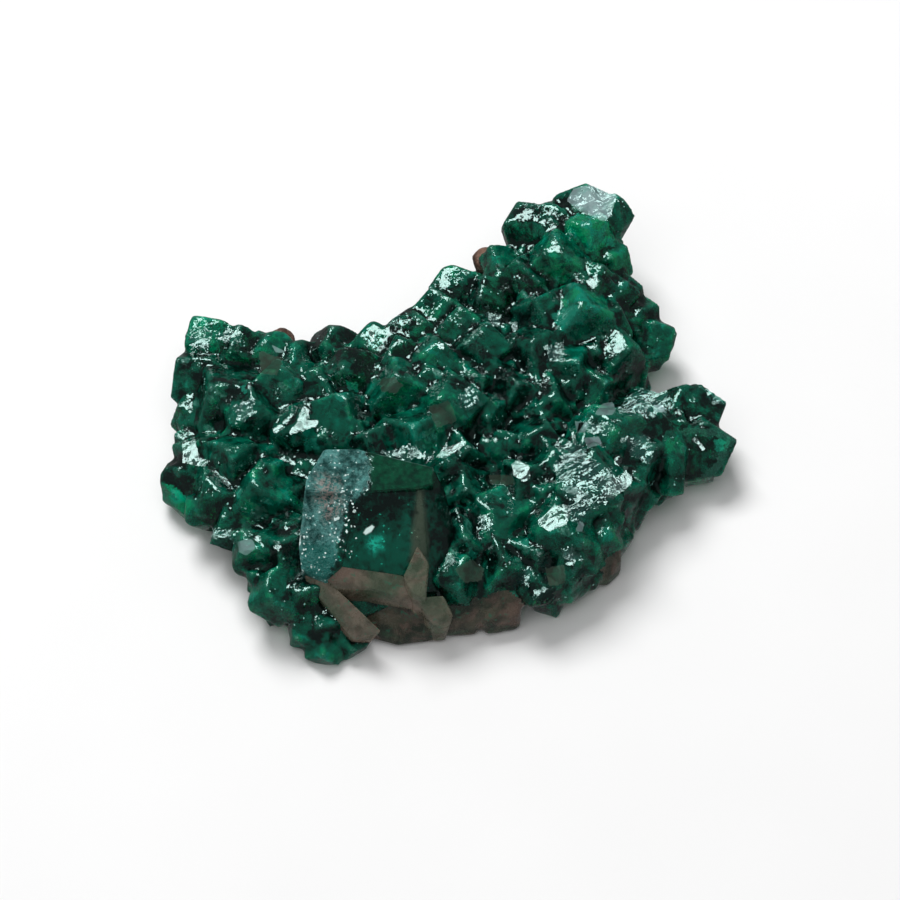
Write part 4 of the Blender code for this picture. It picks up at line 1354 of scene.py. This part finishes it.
def emerald_colour(nodes, large, tiny, pointed, uneven):
    """The green of the crystal in clouds, with soft glows of painted light, painted shade in its hollows,
    painted highlights on its pointed edges and fine painted sparkles.
    """
    glow = nodes.noise(*EMERALD_GLOW)
    # Painted shade: hollows are darker, and pointed places a little lighter
    value = nodes.span(pointed, 0.42, 0.56, -0.20, 0.10)
    parts = (nodes.noise(*EMERALD_CLOUD), glow, nodes.attribute("shade"), large[0])
    for part, weight in zip(parts, EMERALD_WEIGHTS):
        value = nodes.plus(nodes.times(part, weight), value)
    colour = nodes.blend(nodes.span(value, 0.62, 0.86), DEEP_EMERALD, EMERALD)
    # Painted glow: the palest clouds turn bright green, as if light shone through
    lit = nodes.blend(nodes.span(large[1], 0.45, 0.75), GRASS_GLOW, SEA_GLOW)
    colour = nodes.blend(nodes.span(value, 0.84, 1.02), colour, lit)
    # Painted highlight: pointed edges turn pale green
    worn_and_highlit = nodes.times(nodes.span(pointed, 0.52, 0.60), nodes.span(glow, 0.42, 0.62, 0.0, 0.6))
    colour = nodes.blend(worn_and_highlit, colour, EDGE_HIGHLIGHT_GREEN)
    # Painted sparkles: the brightest tiny cells turn pale teal
    sparkle = nodes.above(tiny[2], nodes.span(uneven, 0.50, 0.70, FEWEST_SPARKLES, MOST_SPARKLES))
    return nodes.blend(sparkle, colour, SPARKLE_GREEN), sparkle


def cleavage_shares(nodes):
    """How much of a cleavage face of each kind shows at a place, with a ragged outline."""
    ragged = nodes.times(nodes.math("SUBTRACT", nodes.noise(*CLEAVAGE_RAGS), 0.5), RAG_WIDTH)
    shown = {}
    for kind in CLEAVAGES:
        mark = nodes.plus(nodes.attribute(kind), nodes.times(ragged, RAGGEDNESS[kind]))
        shown[kind] = nodes.span(mark, *CLEAVAGE_EDGE)
    return shown


def clear_normal(nodes, coarse, tiny, crushed, shown):
    """Small facets all over, which turn towards the lamp, or away from it, on the cleavage faces."""
    outward = nodes.geometry("Normal")
    outward = nodes.faceted(outward, (coarse, 0.13), (nodes.cells(MIDDLE_CELLS), 0.14), (tiny, crushed))
    drawn = drawn_out(nodes, CLEAVAGE_GRAIN)
    streaks = (nodes.cells(BROAD_STREAKS, drawn), nodes.cells(FINE_STREAKS, drawn), tiny)
    turns = [nodes.span(shown["broken"], 0.0, 1.0, smooth, rugged) for smooth, rugged in STREAK_TURNS]
    facing = nodes.faceted(mirror_slope(), *zip(streaks, turns))
    flat = nodes.faceted(direction(*DULL_FACING), (coarse, DULL_TURN))
    turned = nodes.turn(nodes.most(shown["pale"], shown["grey_face"]), outward, flat)
    return nodes.unit(nodes.turn(nodes.most(shown["bright"], shown["broken"]), turned, facing))


def clear_dioptase():
    """Clear deep emerald crystal, cloudy within, with cleavage faces and crushed places that glint."""
    nodes = Nodes("clear_dioptase")
    coarse = nodes.cells(COARSE_CELLS)
    tiny = nodes.cells(TINY_CELLS)
    pointed = nodes.geometry("Pointiness")
    uneven = nodes.noise(*CRUSHED_PLACES)
    colour, sparkle = emerald_colour(nodes, nodes.split(coarse), nodes.split(tiny), pointed, uneven)
    shown = cleavage_shares(nodes)
    # Painted light: bright and broken faces paler as highlights, pale ones grey as reflections, teal and
    # fringe places green as glow
    for kind, (share, tint) in CLEAVAGE_TINTS.items():
        colour = nodes.blend(nodes.times(shown[kind], share), colour, tint)
    edge = nodes.span(pointed, *EDGE_POINTEDNESS)
    rough = nodes.most(nodes.span(uneven, 0.42, 0.72, 0.03, 0.22), nodes.times(edge, EDGE_ROUGHNESS))
    crushed = nodes.most(nodes.span(uneven, 0.52, 0.68, 0.10, 0.9), nodes.times(edge, EDGE_CRUSHED))
    solid = nodes.most(sparkle, shown["pale"], shown["grey_face"])
    see_through = nodes.math("SUBTRACT", CLEARNESS, nodes.times(solid, SOLID_SHARE))
    nodes.use(Base_Color=colour, Roughness=rough, IOR=DIOPTASE_IOR)
    nodes.use(Normal=clear_normal(nodes, coarse, tiny, crushed, shown))
    nodes.use(Transmission_Weight=see_through, Specular_IOR_Level=CLEAR_GLOSS, Specular_Tint=COOL_GLINTS)
    nodes.absorb()
    return nodes.material


def region(nodes, ragged, blur, uneven, corners):
    """1 inside a convex region of the picture with these corners (right, up), 0 outside, across a blur."""
    deepest = -FRAME_WIDTH
    middle = sum((Vector(corner) for corner in corners), Vector((0, 0))) / len(corners)
    for start, end in zip(corners, corners[1:] + corners[:1]):
        along = (Vector(end) - Vector(start)).normalized()
        outward = Vector((along.y, -along.x))
        if outward.dot(Vector(start) - middle) < 0:
            outward = -outward
        across = Vector((1, 0, 0)) * outward.x + PICTURE_UP * outward.y
        side = across.dot(AIM) + outward.dot(Vector(start))
        deepest = nodes.most(deepest, nodes.math("SUBTRACT", nodes.along(across), side))
    if uneven:
        deepest = nodes.plus(deepest, nodes.times(ragged, uneven))
    return nodes.span(deepest, blur, -blur)


def window_colour(nodes, inside, cloud, grain, fine, sparkle):
    """The dark window with its foot painted lit and painted shade under the sill, painted sparkles and a
    painted teal glow in it, the green brow over it, and the pale ridge at its right.
    """
    # Painted light: the window's foot is lit as if light shone through it, and under the sill it is in
    # painted shade
    lower = nodes.math("SUBTRACT", inside["window_foot"], nodes.times(inside["under_sill"], 1.2))
    depth = nodes.plus(nodes.times(lower, 0.50), nodes.times(cloud, 0.8))
    depth = nodes.plus(depth, nodes.span(fine, 0.30, 0.70, -0.20, 0.20))
    colour = nodes.blend(nodes.span(depth, 0.40, 0.98), WINDOW_DARK, WINDOW_GREEN)
    # Painted sparkles in the window
    colour = nodes.blend(sparkle, colour, WINDOW_SPARKLE)
    leaf = nodes.blend(nodes.span(fine, 0.30, 0.70), BROW_DARK, BROW_GREEN)
    colour = nodes.blend(inside["brow"], colour, leaf)
    # A painted teal glow in the window
    blob = nodes.times(inside["blob"], nodes.span(grain, 0.42, 0.52, 0.45, 1.0))
    colour = nodes.blend(blob, colour, BLOB_GREEN)
    strip = nodes.times(inside["ridge_strip"], nodes.span(fine, 0.25, 0.45, 0.3, 1.0))
    return nodes.blend(strip, colour, RIDGE_GREY), blob


def frost_colour(nodes, inside, cloud, grain, fine):
    """Blue-grey frost with white rime, a patch of pink earth, and a clearer lobe at its foot."""
    value = nodes.plus(nodes.times(cloud, 0.45), nodes.times(fine, 0.45), nodes.times(grain, 0.30))
    icy = nodes.blend(nodes.span(value, 0.48, 0.72), ICE_DARK, ICE_PALE)
    rime = nodes.times(nodes.span(grain, 0.56, 0.64), nodes.span(cloud, 0.42, 0.58))
    icy = nodes.blend(nodes.times(rime, 0.55), icy, RIME_WHITE)
    earth = nodes.times(inside["frost_earth"], nodes.span(grain, 0.46, 0.54))
    icy = nodes.blend(nodes.times(earth, 0.8), icy, PINK_EARTH)
    return nodes.blend(nodes.times(inside["frost_lobe"], 0.75), icy, LOBE_TEAL)


def white_sparkles(nodes, inside, frost, tiny, fine):
    """1 on the two painted glints and on the painted white sparkles that lie in and beside the frost."""
    sparkle_zones = nodes.most(inside["frost_sparkles"], inside["lobe_sparkles"])
    frost_sparkle = nodes.times(frost, nodes.span(fine, 0.45, 0.65, 0.0, 0.05))
    small = nodes.above(nodes.plus(tiny[0], nodes.plus(nodes.times(sparkle_zones, 0.07), frost_sparkle)), 1.0)
    large = nodes.split(nodes.cells(SPARKLE_CELLS))[1]
    large = nodes.above(nodes.plus(large, nodes.times(sparkle_zones, 0.06)), 1.0)
    return nodes.most(small, inside["window_glint"], inside["side_glint"], large)


def great_dioptase():
    """The great crystal's skin: frosted at the left, green at the brow, with a clear dark window below."""
    nodes = Nodes("great_dioptase")
    cloud = nodes.noise(*GREAT_CLOUD)
    grain = nodes.noise(*GREAT_GRAIN)
    fine = nodes.noise(*GREAT_FINE)
    tiny = nodes.split(nodes.cells(TINY_CELLS))
    ragged = nodes.math("SUBTRACT", nodes.noise(*REGION_RAGS), 0.5)
    inside = {name: region(nodes, ragged, *terms) for name, terms in GREAT_REGIONS.items()}
    # Painted sparkles, only within the window
    sparkle = nodes.times(nodes.above(tiny[1], 0.975), nodes.span(fine, 0.50, 0.60))
    sparkle = nodes.times(sparkle, inside["window_sparkles"])
    colour, blob = window_colour(nodes, inside, cloud, grain, fine, sparkle)
    frost = nodes.most(inside["frost_top"], inside["frost_side"])
    colour = nodes.blend(frost, colour, frost_colour(nodes, inside, cloud, grain, fine))
    white = white_sparkles(nodes, inside, frost, tiny, fine)
    # Painted glints and sparkles in white
    colour = nodes.blend(white, colour, GLINT_WHITE)
    # A painted highlight along the worn rear edge
    edge = nodes.times(nodes.attribute("worn_and_highlit"), inside["rear_edge"])
    colour = nodes.blend(nodes.times(edge, nodes.span(fine, 0.42, 0.58, 0.2, 0.8)), colour, REAR_EDGE_HIGHLIGHT)
    facets = ((nodes.cells(COARSE_CELLS), 0.05), (nodes.cells(FROST_CELLS), 0.03))
    normal = nodes.faceted(nodes.geometry("Normal"), *facets)
    strength = nodes.span(frost, 0.0, 1.0, 0.04, 1.0)
    relief = nodes.relief(nodes.plus(grain, fine), strength, FROST_DEPTH, Normal=nodes.unit(normal))
    rough = nodes.span(nodes.plus(frost, nodes.times(fine, 0.4)), 0.1, 1.2, 0.06, 0.34)
    solid = nodes.plus(nodes.most(white, sparkle), nodes.times(blob, 0.45))
    clear = nodes.span(frost, 0.0, 1.0, CLEARNESS, FROST_CLEARNESS)
    nodes.use(Base_Color=colour, Roughness=rough, IOR=DIOPTASE_IOR, Normal=relief)
    nodes.use(Transmission_Weight=nodes.math("SUBTRACT", clear, solid, clamp=True))
    nodes.use(Specular_IOR_Level=GREAT_GLOSS, Specular_Tint=COOL_GLINTS)
    nodes.absorb()
    return nodes.material


def smoky_surface(name, dark, pale):
    """Broken faces under a thin grey-brown film, still glossy enough to mirror what they face, with pinkish
    patches of painted reflection.
    """
    nodes = Nodes(name)
    wisps = nodes.noise(*SMOKE_WISPS)
    patches = nodes.noise(*SMOKE_PATCHES)
    value = nodes.plus(nodes.times(nodes.noise(*SMOKE_CLOUD), 0.9), nodes.times(wisps, 0.25))
    colour = nodes.blend(nodes.span(value, 0.44, 0.72), dark, pale)
    # Painted reflection: pinkish patches of a warm surround
    colour = nodes.blend(nodes.span(patches, 0.50, 0.66, 0.0, 0.4), colour, PINK_BROWN)
    colour = nodes.blend(nodes.span(patches, 0.36, 0.48, 0.45, 0.0), colour, OLIVE)
    colour = nodes.blend(nodes.times(nodes.span(wisps, 0.60, 0.66), 0.6), colour, MOSS_GREEN)
    normal = nodes.faceted(nodes.geometry("Normal"), (nodes.cells(COARSE_CELLS), 0.20))
    relief = nodes.relief(value, 0.12, SMOKE_DEPTH, Normal=nodes.unit(normal))
    nodes.use(Base_Color=colour, IOR=DIOPTASE_IOR, Normal=relief)
    nodes.use(Roughness=nodes.span(wisps, 0.35, 0.65, 0.18, 0.40), Transmission_Weight=0.2)
    nodes.absorb()
    return nodes.material


def matrix_rock():
    """Earthy brown and pinkish rock."""
    nodes = Nodes("matrix_rock")
    lumps = nodes.noise(*ROCK_LUMPS)
    colour = nodes.blend(nodes.span(lumps, 0.35, 0.65), ROCK_DARK, ROCK_BROWN)
    colour = nodes.blend(nodes.span(nodes.noise(*ROCK_GRAINS), 0.58, 0.70), colour, ROCK_PINK)
    relief = nodes.relief(lumps, 0.8, ROCK_DEPTH)
    nodes.use(Base_Color=colour, Roughness=0.85, Normal=relief)
    return nodes.material


def floor_material():
    """Plain pale paper with a faint unevenness."""
    nodes = Nodes("pale_floor")
    colour = nodes.blend(nodes.noise(*PAPER_UNEVEN), PAPER_GREY, PAPER_WHITE)
    nodes.use(Base_Color=colour, Roughness=0.9)
    return nodes.material


def build_cluster():
    materials = {
        "clear": clear_dioptase(),
        "great": great_dioptase(),
        "smoky": smoky_surface("smoky_film", SMOKE_DARK, SMOKE_PALE),
        # The same film, darker as painted shade
        "smoky_shaded": smoky_surface("shaded_film", SHADE_DARK, SHADE_PALE),
        "earthy": matrix_rock(),
    }
    cluster = Cluster(materials)
    base = cluster.add("crust", slab(CRUST_LEVELS), "clear")
    cluster.solids.objects.unlink(base)
    bpy.context.scene.collection.objects.link(base)
    base.name = "dioptase_crystals"
    cluster.add("matrix", slab(MATRIX_LEVELS), "earthy")
    add_matrix_knobs(cluster)
    add_listed_crystals(cluster)
    add_filling_crystals(cluster)
    add_rim_row(cluster)
    add_blocks(cluster, FRONT_BLOCKS)
    cluster.join(base)
    add_sprouts(cluster, base)
    cluster.join(base)
    melt(base)
    add_blocks(cluster, GREAT_BLOCKS)
    cluster.join(base)
    cut_underside(base)
    finish_mesh(base)
    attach(base, "root")
    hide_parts("dioptase_cluster")


def add_floor():
    bm = bmesh.new()
    bmesh.ops.create_grid(bm, x_segments=1, y_segments=1, size=FLOOR_SIZE * MM / 2)
    floor = mesh_object("floor", bm, bpy.context.scene.collection)
    floor.data.materials.append(floor_material())
    floor.visible_glossy = False


def add_lamp(name, heading, height, distance, size, power, mirrored=True):
    """A square softbox that faces the aim from a compass heading and a height above the horizon.
    One that isn't mirrored lights the crystals without a reflection of its own."""
    data = bpy.data.lights.new(name, "AREA")
    data.size = size * MM
    data.energy = power
    lamp = bpy.data.objects.new(name, data)
    bpy.context.scene.collection.objects.link(lamp)
    away = direction(heading, 90 - height)
    lamp.location = (AIM + away * distance) * MM
    lamp.rotation_euler = away.to_track_quat("Z", "Y").to_euler()
    lamp.visible_camera = False
    lamp.visible_glossy = mirrored


def add_world():
    world = bpy.data.worlds.new("studio")
    world.use_nodes = True
    background = world.node_tree.nodes["Background"]
    background.inputs["Color"].default_value = (1, 1, 1, 1)
    background.inputs["Strength"].default_value = WORLD_STRENGTH
    bpy.context.scene.world = world


def add_camera():
    """The camera at the eye that the specimen is measured by, with its frame square on the aim."""
    data = bpy.data.cameras.new("camera")
    data.sensor_width = SENSOR_WIDTH
    data.lens = SENSOR_WIDTH * EYE_DISTANCE / FRAME_WIDTH
    data.clip_start = CLIP_START * MM
    camera = bpy.data.objects.new("camera", data)
    bpy.context.scene.collection.objects.link(camera)
    camera.location = EYE * MM
    camera.rotation_euler = TOWARDS_EYE.to_track_quat("Z", "Y").to_euler()
    bpy.context.scene.camera = camera


bpy.context.scene.view_settings.view_transform = "Standard"
build_cluster()
add_floor()
add_lamp("key_softbox", *KEY_LAMP)
add_lamp("fill_softbox", *FILL_LAMP, mirrored=False)
add_world()
add_camera()
